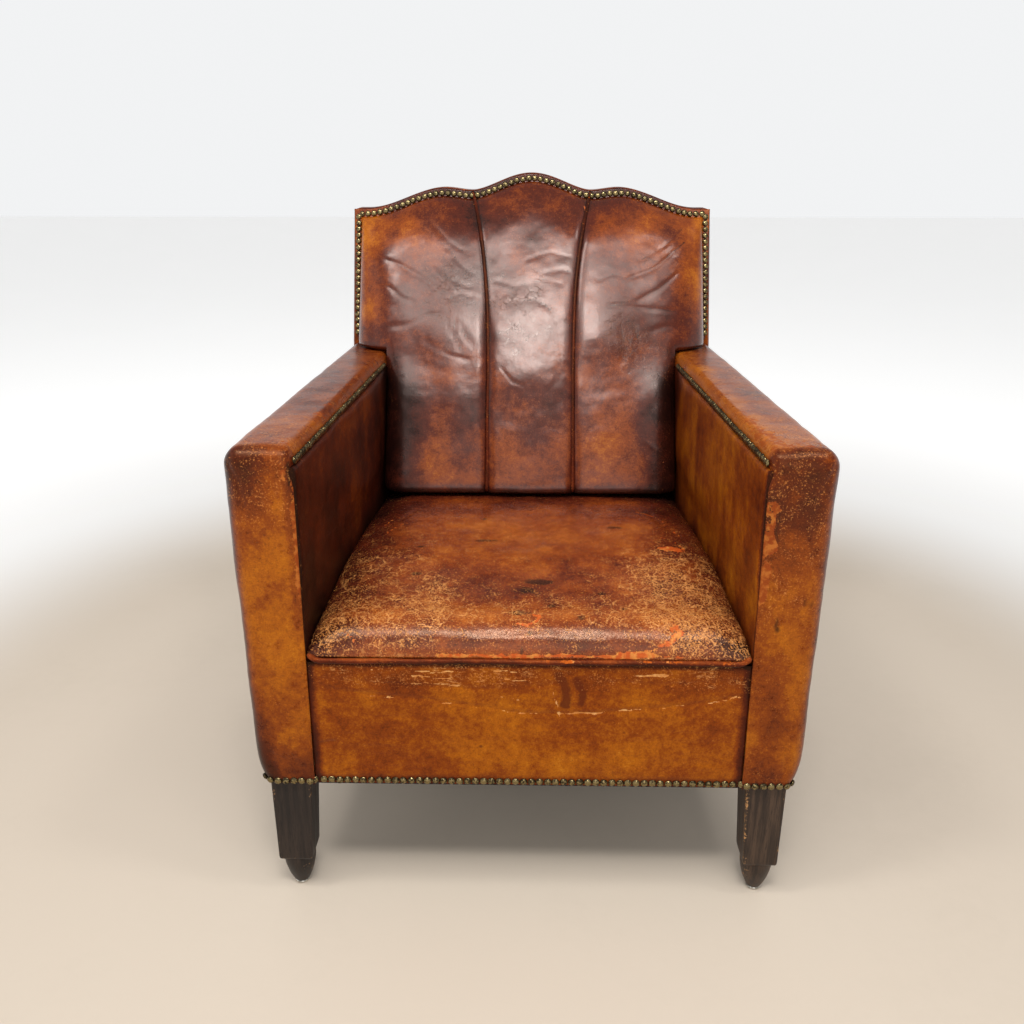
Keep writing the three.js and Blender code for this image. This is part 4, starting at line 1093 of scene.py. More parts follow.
    def panel_wear(self, points: Array) -> dict[Paint, Array]:
        """Left: near black oxblood. Right: olive-amber in vertical streaks. Both darken towards the back and the seat
        as painted shade, and at the front seam.
        """
        _, y, z = points.T
        streak = noise(points * [0.0, 1.0, 0.3], 24.0, 93, 3)
        if self.side is Side.LEFT:
            tone = 0.2 + 0.06 * streak + 0.08 * noise(points, 70.0, 94, 2) + 0.16 * spot(y, z, (250.0, 585.0), (200.0, 34.0))
            tone += 0.14 * spot(y, z, (300.0, 460.0), (120.0, 60.0))
            crack = 0.3 + 0.1 * noise(points, 60.0, 95, 2)
        else:
            tone = 0.56 + 0.08 * streak + 0.08 * noise(points, 80.0, 96, 2)
            # painted shade: darker towards the seat and the back
            tone -= 0.16 * smooth((560.0 - z) / 160.0) * smooth((y - 300.0) / 200.0)
            crack = 0.26 + 0.1 * noise(points, 60.0, 97, 2)
        # painted shade towards the back and the seat; the dark front edge is the seam
        tone -= 0.3 * smooth((y - 470.0) / 60.0) + 0.4 * smooth((5.5 - y) / 2.5) + 0.12 * smooth((430.0 - z) / 40.0)
        rub = 0.12 + 0.1 * noise(points, 30.0, 98, 3) + 0.16 * smooth((12.0 - y) / 6.0) * smooth((y - 5.0) / 2.0)
        # the dark marks grow towards the back as painted shade
        stain = 0.14 + 0.16 * smooth((y - 480.0) / 50.0)
        return {Paint.TONE: tone, Paint.RUB: rub, Paint.CRACK: crack, Paint.STAIN: stain}

    def into_chair(self, shell: Shell) -> Shell:
        """Moves a shell from the arm's own coordinates, outside to inside, to its side of the chair."""
        w, y, z = shell.points.T
        placed = Shell(np.column_stack([w - CHAIR_HALF + ARM_TAPER * y, y, z]), shell.faces, shell.paint)
        return placed if self.side is Side.LEFT else placed.mirrored()

    def build(self, finishes: dict[str, bpy.types.Material]) -> None:
        """Makes the arm and its inside panel."""
        end = self.side.suffix
        shell, box = self.form()
        self.soften(shell, box)
        shell.paint = self.wear(box, shell.points)
        nodes = [f"arm_cover_{end}", f"arm_padding_{end}"]
        arm = Workshop.place(f"padded_arm_{end}", self.into_chair(shell), finishes["arm"], "cover_leather", nodes)
        inside = self.panel()
        inside.paint = self.panel_wear(inside.points)
        name = f"inside_arm_cover_{end}"
        panel = Workshop.place(name, self.into_chair(inside), finishes["inside_arm"], "cover_leather", [f"inside_arm_panel_{end}"])


# ---- Back ------------------------------------------------------------------------------------


@dataclass
class Outline:
    """The back as seen from the front: its leaning plane, humped top edge and sides."""

    top_half: float = 308.0
    corner_height: float = 850.0
    dip_height: float = 879.5
    dip_at: float = 102.0

    def plane(self, z: Any) -> Any:
        """Depth of the back's border at a height."""
        return BACK_BASE + BACK_LEAN * (z - ARM_TOP)

    def crest(self, x: Any) -> Any:
        """Height of the humped top edge."""
        out = np.abs(x)
        middle = self.dip_height + 28.0 * ((1.0 + np.cos(np.pi * np.minimum(out / self.dip_at, 1.0))) / 2.0) ** 0.8
        rise = mix(self.dip_height, 884.0, smooth((out - self.dip_at) / 48.0))
        fall = mix(884.0, self.corner_height, smooth((out - 150.0) / 135.0))
        return np.where(out < self.dip_at, middle, np.where(out < 150.0, rise, fall))

    def half(self, z: Any) -> Any:
        """Half the back's width at a height."""
        arm_half = CHAIR_HALF - ARM_TAPER * self.plane(np.minimum(z, ARM_TOP))
        rise = np.clip((z - ARM_TOP) / (self.corner_height - ARM_TOP), 0.0, 1.0)
        return mix(arm_half, self.top_half, rise) - 7.0 * (1.0 - smooth((z - BODY_BOTTOM) / 50.0))

    def edge(self, inset: float, low: float, spacing: float = 1.0) -> Array:
        """Points along the right side, over the top and down the left side, an inset inside the edge."""
        rise = steps(low, self.corner_height - inset, spacing)
        side = np.column_stack([self.half(rise) - inset, rise])
        x = -steps(-self.top_half + inset, self.top_half - inset, spacing)
        top = np.column_stack([x, self.crest(x) - inset])
        left = side[::-1] * np.array([-1.0, 1.0])
        return np.vstack([side, top[1:-1], left])


@dataclass
class InsideBack:
    """The stuffed inside back: three upright panels between seams, on a flat nailed border."""

    outline: Outline
    bottom: float = 421.0
    lower_half: float = 239.6
    step: float = 633.5  # height of the panels' edge over the arms
    border: float = 15.0
    fullness: float = 188.0
    dip: float = 4.5
    dip_width: float = 18.0
    welt_radius: float = 2.7
    spacing: float = 2.6

    def seam(self, z: Any) -> Any:
        """How far a seam is from the middle at a height."""
        return 70.0 + 32.0 * np.clip((z - 600.0) / 280.0, 0.0, 1.0) ** 2.6

    def swell(self, x: Any, z: Any) -> Any:
        """How far the panels stand in front of the border."""
        out = np.abs(x)
        full = self.fullness - 0.36 * (z - 424.0) + 10.0 * np.sin(np.clip((z - 424.0) / 436.0, 0.0, 1.0) * math.pi)
        low = full - 35.0 * (1.0 - round_off((self.lower_half - out) / 35.0))
        inward = np.clip((self.outline.half(z) - self.border - out) / 98.0, 0.0, 1.0)
        high = full * (1.0 - (1.0 - inward) ** 2.6) ** (1.0 / 2.6) - 7.0 * smooth((out - 120.0) / 110.0) * smooth(inward / 0.3)
        high = high * (1.0 - 0.05 * (1.0 - round_off((z - self.step) / 24.0)) * smooth((out - 226.0) / 20.0))
        top = round_off((self.outline.crest(x) - self.border - z) / 70.0)
        deep = mix(low, high, smooth((z - 565.0) / 66.0)) * top
        deep = deep - 13.0 * (1.0 - round_off((z - self.bottom) / 15.0))
        dip = self.dip * (1.0 - round_off(np.abs(out - self.seam(z)) / self.dip_width))
        belly = 2.0 * np.cos(np.clip(out / self.seam(z), 0.0, 1.0) * math.pi / 2.0)
        return np.maximum(deep + (belly - dip) * smooth(deep / 40.0), 0.0)

    def surface(self, x: Any, z: Any) -> Any:
        """Depth of the front surface."""
        return self.outline.plane(z) - 2.6 - self.swell(x, z)

    def rows(self) -> Array:
        """Row numbers: up to 1 below the arms' tops, 1 to 2 above them, 2 to 3 across the border."""
        bend = self.bottom + 15.0 * (1.0 - np.cos(np.linspace(0.0, math.pi / 2.0, 8)[:-1]))
        low = np.concatenate([bend, steps(self.bottom + 15.0, self.step, self.spacing)])
        low = (low - self.bottom) / (self.step - self.bottom)
        high = 1.0 + np.sin(np.linspace(0.0, math.pi / 2.0, 96)) ** 0.9
        return np.concatenate([low, high[1:], 2.0 + np.linspace(0.0, 1.0, 8)[1:]])

    def height(self, row: Array, x: Array) -> Array:
        """Height of a row's points at their places across."""
        crest = self.outline.crest(x)
        low = mix(self.bottom, self.step, np.clip(row, 0.0, 1.0))
        high = mix(self.step, crest - self.border, np.clip(row - 1.0, 0.0, 1.0))
        border = crest - self.border + (self.border - 1.0) * np.clip(row - 2.0, 0.0, 1.0)
        return np.where(row < 1.0, low, np.where(row <= 2.0, high, border))

    def columns(self) -> Array:
        """Columns of a side panel: 0 at the seam, 1 at the border, 2 at the edge, one beside the arm."""
        bend = np.sin(np.linspace(0.0, math.pi / 2.0, 18))
        arm = self.arm_column()
        low = [np.linspace(0.0, arm - 0.16, 30)[:-1], arm - 0.16 + 0.16 * bend]
        high = [arm + (0.88 - arm) * np.linspace(0.0, 1.0, 8)[1:], 0.88 + 0.12 * bend[1:], np.linspace(1.0, 2.0, 8)[1:]]
        return np.concatenate(low + high)

    def arm_column(self) -> float:
        """The column that runs down beside the arm."""
        wide = self.outline.top_half - self.border
        return (self.lower_half - self.seam(0.0)) / (wide - self.seam(0.0))

    def panel(self, across: Array, side: int) -> Shell:
        """One panel.

        Args:
            across: Columns, from 0 at the inner edge to 1 at the outer, then to 2 across the border.
            side: 0 for the middle panel, -1 for the left one and 1 for the right one.

        Returns:
            The closed panel.
        """
        row = np.broadcast_to(self.rows()[:, None], (len(self.rows()), len(across)))
        share = np.broadcast_to(across[None], row.shape)
        x = np.full(row.shape, 200.0)
        z = self.height(row, x)
        for _ in range(4):
            wide = np.minimum(self.outline.half(np.minimum(z, self.outline.corner_height)), self.outline.top_half)
            seam = self.seam(self.height(row, self.seam(z)))
            if side:
                x = mix(seam, wide - self.border, np.minimum(share, 1.0)) + (self.border - 1.0) * np.clip(share - 1.0, 0.0, 1.0)
            else:
                x = seam * share
            z = self.height(row, x)
        beside_arm = (share[:-1, :-1] > self.arm_column() - 1e-6) & (row[:-1, :-1] < 1.0 - 1e-6)
        kept = ~beside_arm if side else None
        bump = np.stack([x * (side or 1), self.surface(x, z), z], axis=-1)
        flat = bump.reshape(-1, 3)
        lift = 2.4 * noise(flat, 110.0, 101, 2) + 0.4 * noise(flat, 32.0, 102, 2) + 0.12 * noise(flat, 9.0, 103, 2)
        for path, depth, width in self.creases():
            lift -= 0.85 * depth * stroke(flat[:, 0], flat[:, 2], path, width)
        free = smooth(self.swell(flat[:, 0], flat[:, 2]) / 50.0) * round_off((flat[:, 2] - self.bottom) / 24.0)
        free = free * smooth(np.abs(np.abs(flat[:, 0]) - self.seam(flat[:, 2])) / 14.0)
        bump[..., 1] -= (lift * free).reshape(row.shape)
        middle = float(np.abs(x).mean()) * (side or 0)
        shell = cushion(bump, (middle, self.outline.plane(600.0) - 0.4, 600.0), kept)
        shell.paint = self.wear(shell.points)
        return shell

    def creases(self) -> list[tuple[list[tuple[float, float]], float, float]]:
        """Long creases pressed in by leaning backs: a path over x and height, depth, width."""
        return [
            ([(-262, 776), (-222, 764), (-180, 742), (-160, 730)], 0.84, 2.6),
            ([(-268, 742), (-236, 728), (-214, 712), (-196, 706)], 0.73, 2.5),
            ([(-246, 668), (-206, 672), (-176, 686), (-150, 690)], 0.84, 2.7),
            ([(-170, 828), (-140, 800), (-116, 786)], 0.73, 2.5),
            ([(-150, 742), (-124, 700), (-128, 660)], 0.63, 2.4),
            ([(-176, 650), (-138, 630), (-104, 622)], 0.63, 2.5),
            ([(164, 744), (206, 758), (236, 782), (262, 800)], 0.95, 2.6),
            ([(176, 710), (214, 728), (246, 752)], 0.84, 2.5),
            ([(130, 704), (176, 700), (240, 694)], 0.84, 2.6),
            ([(182, 772), (222, 792), (266, 826)], 0.73, 2.5),
            ([(146, 668), (158, 640), (150, 616)], 0.73, 2.5),
            ([(170, 664), (186, 648), (206, 640)], 0.63, 2.4),
            ([(190, 500), (214, 482), (226, 470)], 0.73, 2.5),
            ([(-140, 790), (-122, 768), (-98, 750)], 0.7, 2.4),
            ([(-158, 764), (-134, 742), (-104, 730)], 0.7, 2.4),
            ([(-138, 712), (-118, 722), (-96, 716)], 0.6, 2.4),
            ([(-118, 676), (-104, 650), (-90, 640)], 0.6, 2.4),
            ([(-140, 690), (-134, 664), (-116, 640)], 0.6, 2.4),
            ([(-8, 772), (30, 784), (66, 776)], 0.6, 2.4),
            ([(20, 752), (52, 758), (78, 748)], 0.6, 2.4),
            ([(6, 716), (40, 690), (70, 668)], 0.5, 2.4),
            ([(-50, 690), (-20, 664), (8, 650)], 0.5, 2.4),
            ([(150, 690), (172, 672), (180, 640)], 0.7, 2.4),
            ([(112, 742), (140, 752), (160, 744)], 0.6, 2.4),
            ([(196, 664), (226, 672), (250, 668)], 0.7, 2.4),
            ([(-60, 740), (-24, 732), (20, 742), (50, 736)], 0.53, 2.7),
            ([(-40, 706), (-6, 712), (44, 700)], 0.53, 2.7),
            ([(-48, 610), (-30, 590), (-12, 584)], 0.53, 2.5),
        ]

    def wear(self, points: Array) -> dict[Paint, Array]:
        """Dark oxblood where backs lean, amber at the sides and below, with painted shade by the arms, at the seat,
        beside the seams and in the creases.
        """
        x, z = points[:, 0], points[:, 2]
        out = np.abs(x)
        seam = np.abs(out - self.seam(z))
        tone = 0.34 + 0.08 * noise(points, 85.0, 111, 3) + 0.06 * noise(points, 30.0, 112, 2)
        tone += 0.22 * smooth((out - 226.0) / 60.0) * smooth((z - 640.0) / 60.0)
        tone += 0.15 * smooth((560.0 - z) / 90.0) - 0.06 * spot(x, z, (0.0, 770.0), (90.0, 90.0))
        tone += 0.16 * spot(x, z, (176.0, 810.0), (50.0, 40.0)) - 0.1 * spot(x, z, (-130.0, 740.0), (50.0, 90.0))
        tone += 0.14 * spot(x, z, (-200.0, 800.0), (60.0, 40.0)) + 0.08 * spot(x, z, (140.0, 560.0), (60.0, 60.0))
        tone -= 0.14 * spot(x, z, (36.0, 556.0), (26.0, 24.0)) + 0.12 * spot(x, z, (-104.0, 520.0), (22.0, 60.0))
        # painted shade: darker towards the lower corners where the back meets the arms
        tone -= 0.42 * smooth((out - 150.0) / 80.0) * smooth((650.0 - z) / 100.0)
        # darker along the seams: the seam line itself, and soft painted shade on both sides of the welt
        tone -= 0.26 * np.exp(-((seam / 3.6) ** 2)) + 0.05 * np.exp(-((seam / 12.0) ** 2))
        # painted shade in the crease where the back meets the seat
        tone -= 0.3 * smooth((444.0 - z) / 22.0)
        rub = 0.12 + 0.09 * noise(points, 42.0, 113, 3)
        ragged = 2.5 * noise(points, 12.0, 115, 2)
        rub += 0.4 * spot(x + ragged, z, (92.0, 848.0), (4.0, 16.0), -8.0) + 0.3 * spot(x, z, (-98.0, 860.0), (4.0, 14.0))
        rub += 0.12 * spot(x, z, (200.0, 600.0), (50.0, 46.0)) + 0.12 * spot(x, z, (140.0, 490.0), (60.0, 40.0))
        rub += 0.5 * stroke(x, z, [(196, 486), (212, 474), (222, 462)], 1.3) * smooth(noise(points, 8.0, 116, 2) / 0.2)
        stain = 0.06 + 0.2 * spot(x, z, (40.0, 470.0), (70.0, 16.0))
        # painted shade by the arms, carried with the dark marks
        stain += 0.14 * smooth((out - 200.0) / 30.0) * smooth((640.0 - z) / 50.0)
        # painted shade along the creases, carried with the dark marks
        for path, _, _ in self.creases():
            stain += 0.5 * stroke(x, z, path, 2.0) * (0.9 + 0.4 * noise(points, 14.0, 118, 2))
        crack = 0.24 + 0.16 * noise(points, 70.0, 114, 2) + 0.4 * spot(x, z, (-150.0, 730.0), (56.0, 90.0))
        crack += 0.4 * spot(x, z, (160.0, 660.0), (50.0, 80.0)) + 0.34 * spot(x, z, (-10.0, 700.0), (60.0, 90.0))
        crack += 0.2 * spot(x, z, (230.0, 760.0), (44.0, 50.0))
        border = smooth((self.border + 1.0 - (self.outline.half(z) - out)) / 4.0) * smooth((z - 634.0) / 6.0)
        border = np.maximum(border, smooth((self.border + 1.0 - (self.outline.crest(x) - z)) / 4.0))
        tone = tone - 0.1 * border
        return {Paint.TONE: tone, Paint.RUB: rub, Paint.CRACK: crack, Paint.STAIN: stain}

    def welt(self, side: Side) -> Shell:
        """The piping sewn into a seam."""
        z = steps(self.bottom + 4.0, self.outline.dip_height - 3.0, 2.6)
        x = self.seam(z)
        y = self.surface(x, z) - 0.6
        path = np.column_stack([x * side.value, y, z])
        path[:, 0] += 0.6 * noise(path, 60.0, 121 + side.value, 2)
        cord = tube(path, self.welt_radius, 10, 0.06)
        high = cord.points[:, 2]
        rub = 0.08 + 0.2 * noise(cord.points, 22.0, 123, 3) + 0.26 * smooth((high - 800.0) / 40.0) * (side is Side.RIGHT)
        zero = np.zeros(len(high))
        tone = 0.2 + 0.12 * noise(cord.points, 50.0, 124, 2) + 0.16 * smooth((560.0 - high) / 60.0)
        cord.paint = {Paint.TONE: tone, Paint.RUB: rub, Paint.CRACK: zero + 0.3, Paint.STAIN: zero}
        return cord

    def build(self, finishes: dict[str, bpy.types.Material]) -> None:
        """Makes the three panels and two welts."""
        middle = self.panel(np.linspace(-1.0, 1.0, 76), 0)
        nodes = ["inside_back_middle_panel", "back_padding"]
        Workshop.place("inside_back_middle", middle, finishes["back"], "cover_leather", nodes)
        for side in Side:
            end = side.suffix
            shell = self.panel(self.columns(), side.value)
            nodes = [f"inside_back_side_panel_{end}"]
            piece = Workshop.place(f"inside_back_{end}", shell, finishes["back"], "cover_leather", nodes)
            Workshop.place(f"inside_back_welt_{end}", self.welt(side), finishes["welt"], "welt_leather", [f"back_welt_{end}"])


@dataclass
class OutsideBack:
    """The outside back: leather drawn over the rear of the frame and its edges."""

    outline: Outline
    depth: float = 45.0
    edge_radius: float = 9.0
    spacing: float = 4.2

    def form(self) -> Shell:
        """The closed cover."""
        half = 310.0
        xs = np.concatenate([steps(-half, -half + 12.0, 1.8)[:-1], steps(-half + 12.0, half - 12.0, self.spacing), steps(half - 12.0, half, 1.8)[1:]])
        ys = np.concatenate([steps(0.0, 34.0, 5.0)[:-1], steps(34.0, self.depth, 1.6)])
        top = 884.0
        zs = np.concatenate([steps(BODY_BOTTOM, top - 12.0, self.spacing)[:-1], steps(top - 12.0, top, 1.8)])
        hidden = {"y0": (5, len(xs) - 6, 3, len(zs) - 7), "z0": (1, len(ys) - 2, 1, len(xs) - 2)}
        hidden["y0"] = (5, len(xs) - 6, 3, len(zs) - 7)
        shell = block(xs, ys, zs, hidden)
        low, high = np.array([-half, 0.0, BODY_BOTTOM]), np.array([half, self.depth, top])
        first = np.array([self.edge_radius, 0.6, 1e-6])
        last = np.array([self.edge_radius, self.edge_radius, self.edge_radius])
        core = np.clip(shell.points, low + first, high - last)
        away = shell.points - core
        reach = np.linalg.norm(away / np.where(away < 0.0, first, last), axis=1, keepdims=True)
        x, y, z = (core + away / np.maximum(reach, 1e-9) * (reach > 1e-9)).T
        wide = x / half * self.outline.half(np.minimum(z, self.outline.corner_height))
        tall = BODY_BOTTOM + (z - BODY_BOTTOM) * (self.outline.crest(wide) - BODY_BOTTOM) / (top - BODY_BOTTOM)
        wide = x / half * self.outline.half(np.minimum(tall, self.outline.corner_height))
        rear = smooth((y - 34.0) / 10.0)
        crown = 2.4 * np.cos(np.pi * np.clip(x / half, -1.0, 1.0) / 2.0) * np.sin(np.pi * np.clip((z - BODY_BOTTOM) / 700.0, 0.0, 1.0))
        place = np.column_stack([wide, self.outline.plane(tall) + y, tall])
        wave = 1.3 * noise(place, 120.0, 131, 2) + 0.3 * noise(place, 30.0, 132, 2)
        for path, depth in (
            ([(-290, 640), (-180, 610), (-60, 600)], 1.0),
            ([(286, 560), (170, 575), (40, 560)], 0.9),
            ([(-280, 300), (-150, 330), (10, 322)], 0.8),
        ):
            wave -= depth * stroke(wide, tall, path, 6.0)
        inner = np.clip((half - 18.0 - np.abs(x)) / 40.0, 0.0, 1.0) * np.clip((z - BODY_BOTTOM - 20.0) / 40.0, 0.0, 1.0)
        inner = inner * np.clip((top - 20.0 - z) / 40.0, 0.0, 1.0)
        place[:, 1] += rear * inner * (crown + wave)
        shell.points = place
        shell.face_out()
        shell.paint = self.wear(place, rear)
        return shell

    def wear(self, points: Array, rear: Array) -> dict[Paint, Array]:
        """Even dark brown, scuffed where the chair has been pushed against things."""
        x, _, z = points.T
        edge = np.minimum(self.outline.half(z) - np.abs(x), self.outline.crest(x) - z)
        tone = 0.4 + 0.12 * noise(points, 130.0, 133, 3) + 0.1 * spot(x, z, (-60.0, 620.0), (200.0, 150.0))
        tone -= 0.18 * smooth((260.0 - z) / 70.0) + 0.1 * smooth((24.0 - edge) / 14.0) * rear
        rub = 0.15 + 0.11 * noise(points, 45.0, 134, 3) + 0.16 * smooth((7.0 - edge) / 6.0)
        rub += 0.24 * stroke(x, z, [(-120, 700), (-40, 690), (60, 694)], 3.0)
        rub += 0.3 * spot(x, z, (150.0, 760.0), (40.0, 8.0), 14.0) + 0.2 * spot(x, z, (-210.0, 450.0), (24.0, 40.0))
        crack = 0.3 + 0.14 * noise(points, 110.0, 135, 2)
        stain = 0.1 + 0.3 * spot(x, z, (90.0, 330.0), (50.0, 22.0), 20.0) + 0.1 * smooth((220.0 - z) / 40.0)
        return {Paint.TONE: tone, Paint.RUB: rub, Paint.CRACK: crack, Paint.STAIN: stain}

    def build(self, finishes: dict[str, bpy.types.Material]) -> None:
        """Makes the cover."""
        cover = Workshop.place("outside_back", self.form(), finishes["outside"], "cover_leather", ["outside_back_cover"])


# ---- Nails -----------------------------------------------------------------------------------


@dataclass
class NailTrim:
    """Rows of domed upholstery nails, almost touching, each driven in a little differently."""

    outline: Outline
    radius: float = NAIL_RADIUS
    pitch: float = 10.3
    arm_pitch: float = 9.05
    rise: float = 0.62  # height of a dome as a share of its radius
    profile: tuple[tuple[float, float], ...] = (
        (0.9, -0.3), (1.0, 0.0), (0.985, 0.18), (0.88, 0.5), (0.66, 0.78), (0.36, 0.95), (0.08, 1.0),
    )
    sides: int = 12

    def row(self, low: Array, high: Array, centre: Array, pitch: float, radius: float, seed: int) -> Shell:
        """Nails along the middle line between two lines on a surface.

        Args:
            low: Points along one side of the row.
            high: The matching points along the other side.
            centre: A point behind the surface, which the domes face away from.
            pitch: Spacing of the nails.
            radius: Radius of the heads.
            seed: Picks the small differences between nails.

        Returns:
            All the heads as one shell, painted with each nail's wear.
        """
        line = (low + high) / 2.0
        along = np.concatenate([[0.0], np.cumsum(np.linalg.norm(np.diff(line, axis=0), axis=1))])
        count = max(1, int(round(along[-1] / pitch)))
        stops = np.linspace(along[-1] / count / 2.0, along[-1] - along[-1] / count / 2.0, count)
        tangent, across = np.gradient(line, axis=0), high - low
        heads, rubs = [], []
        rng = np.random.default_rng(seed)
        angles = np.linspace(0.0, 2.0 * math.pi, self.sides, endpoint=False)
        index = np.arange(len(self.profile) * self.sides).reshape(len(self.profile), self.sides)
        turned = np.roll(index, -1, axis=1)
        faces = np.stack([index[:-1], turned[:-1], turned[1:], index[1:]], axis=-1).reshape(-1, 4).tolist()
        faces += [index[0][::-1].tolist(), index[-1].tolist()]
        for stop in stops:
            at, ahead, up = (np.array([np.interp(stop, along, v[:, k]) for k in range(3)]) for v in (line, tangent, across))
            out = np.cross(ahead, up)
            out *= np.sign(out @ (at - centre)) / np.linalg.norm(out)
            out += rng.normal(0.0, 0.05, 3)
            out /= np.linalg.norm(out)
            ahead = np.cross(up, out)
            ahead /= np.linalg.norm(ahead)
            up = np.cross(out, ahead)
            size = radius * (1.0 + rng.normal(0.0, 0.02))
            at = at + ahead * rng.normal(0.0, 0.16) + up * rng.normal(0.0, 0.28) + out * rng.normal(0.0, 0.1)
            bright = rng.uniform(0.0, 1.0) ** 1.6
            ring = np.cos(angles)[:, None] * ahead + np.sin(angles)[:, None] * up
            points = [at + ring * size * r + out * size * self.rise * h for r, h in self.profile]
            heads.append(Shell(np.vstack(points), faces))
            for _, h in self.profile:
                rubs += [0.3 + 0.3 * bright + 0.4 * max(h, 0.0) ** 2] * self.sides
        shell = joined(heads).face_out()
        shell.paint = {Paint.RUB: np.array(rubs)}
        return shell

    def border_rows(self) -> tuple[Shell, Shell]:
        """The row on the border of the inside back, and the row round the outside back."""
        centre = np.array([0.0, 700.0, 650.0])
        rows = []
        for inset, low, depth, seed in ((9.0, ARM_TOP + 10.0, -2.9, 201), (15.0, BODY_BOTTOM + 22.0, 45.4, 202)):
            edges = [self.outline.edge(inset + shift, low) for shift in (3.0, -3.0)]
            count = max(len(edge) for edge in edges)
            share = np.linspace(0.0, 1.0, count)
            lines = []
            for edge in edges:
                own = np.linspace(0.0, 1.0, len(edge))
                x, z = (np.interp(share, own, edge[:, k]) for k in range(2))
                lines.append(np.column_stack([x, self.outline.plane(z) + depth, z]))
            rows.append(self.row(lines[0], lines[1], centre, self.pitch, self.radius, seed))
        return rows[0], rows[1]

    def arm_row(self, arm: Arm) -> Shell:
        """The row along the top of an inside arm panel."""
        y = steps(8.0, 524.0, 4.0)
        lines = []
        for z in (arm.nail_line - 3.0, arm.nail_line + 3.0):
            w = np.full(len(y), arm_inner(z) + 0.2)
            lines.append(arm.into_chair(Shell(np.column_stack([w, y, np.full(len(y), z)]), [])).points)
        centre = np.array([arm.side.value * 310.0, 300.0, 600.0])
        return self.row(lines[0], lines[1], centre, self.arm_pitch, self.radius * 0.94, 211 + arm.side.value)

    def base_row(self, arm: Arm) -> Shell:
        """The row round the bottom edge: the band, both arms, and the rear."""
        turn = np.linspace(0.0, math.pi / 2.0, 14)
        lines = []
        for z in (BODY_BOTTOM + 2.6, BODY_BOTTOM + 8.6):
            band = steps(0.0, CHAIR_HALF - ARM_FOOT - 1.0, 4.0)
            flat = np.column_stack([band, np.full(len(band), 4.3)])
            w = np.concatenate([np.linspace(ARM_WIDTH - 1.0, 21.0, 16), 20.0 - 20.0 * np.sin(turn), np.zeros(140)])
            y = np.concatenate([np.zeros(16), 12.0 - 12.0 * np.cos(turn), np.linspace(16.0, 572.0, 140)])
            body = arm.mapped(w, y, np.full(len(w), z))
            arm_line = np.column_stack([CHAIR_HALF - body[:, 0] - ARM_TAPER * body[:, 1], body[:, 1]])
            rear_half = float(self.outline.half(np.array(z)))
            rear_y = float(self.outline.plane(z)) + 45.2
            corner = np.column_stack([rear_half - 9.0 + 9.0 * np.cos(turn), rear_y - 9.0 + 9.0 * np.sin(turn)])
            back = np.column_stack([np.linspace(rear_half - 12.0, 0.0, 70), np.full(70, rear_y)])
            right = np.vstack([flat, arm_line, corner, back])
            whole = np.vstack([right, right[::-1] * np.array([-1.0, 1.0])])
            lines.append(np.column_stack([whole, np.full(len(whole), z)]))
        return self.row(lines[0], lines[1], np.array([0.0, 330.0, 190.0]), self.pitch, self.radius, 221)

    def build(self, arms: Sequence[Arm], finishes: dict[str, bpy.types.Material]) -> None:
        """Makes every row."""
        brass = finishes["brass"]
        border, rear = self.border_rows()
        Workshop.place("back_border_nails", border, brass, "nail_brass", ["back_nail_row"])
        Workshop.place("outside_back_nails", rear, brass, "nail_brass", [])
        for arm in arms:
            end = arm.side.suffix
            Workshop.place(f"inside_arm_nails_{end}", self.arm_row(arm), brass, "nail_brass", [f"arm_nail_row_{end}"])
        Workshop.place("base_nails", self.base_row(arms[0]), brass, "nail_brass", ["base_nail_row"])


# ---- Legs and frame --------------------------------------------------------------------------


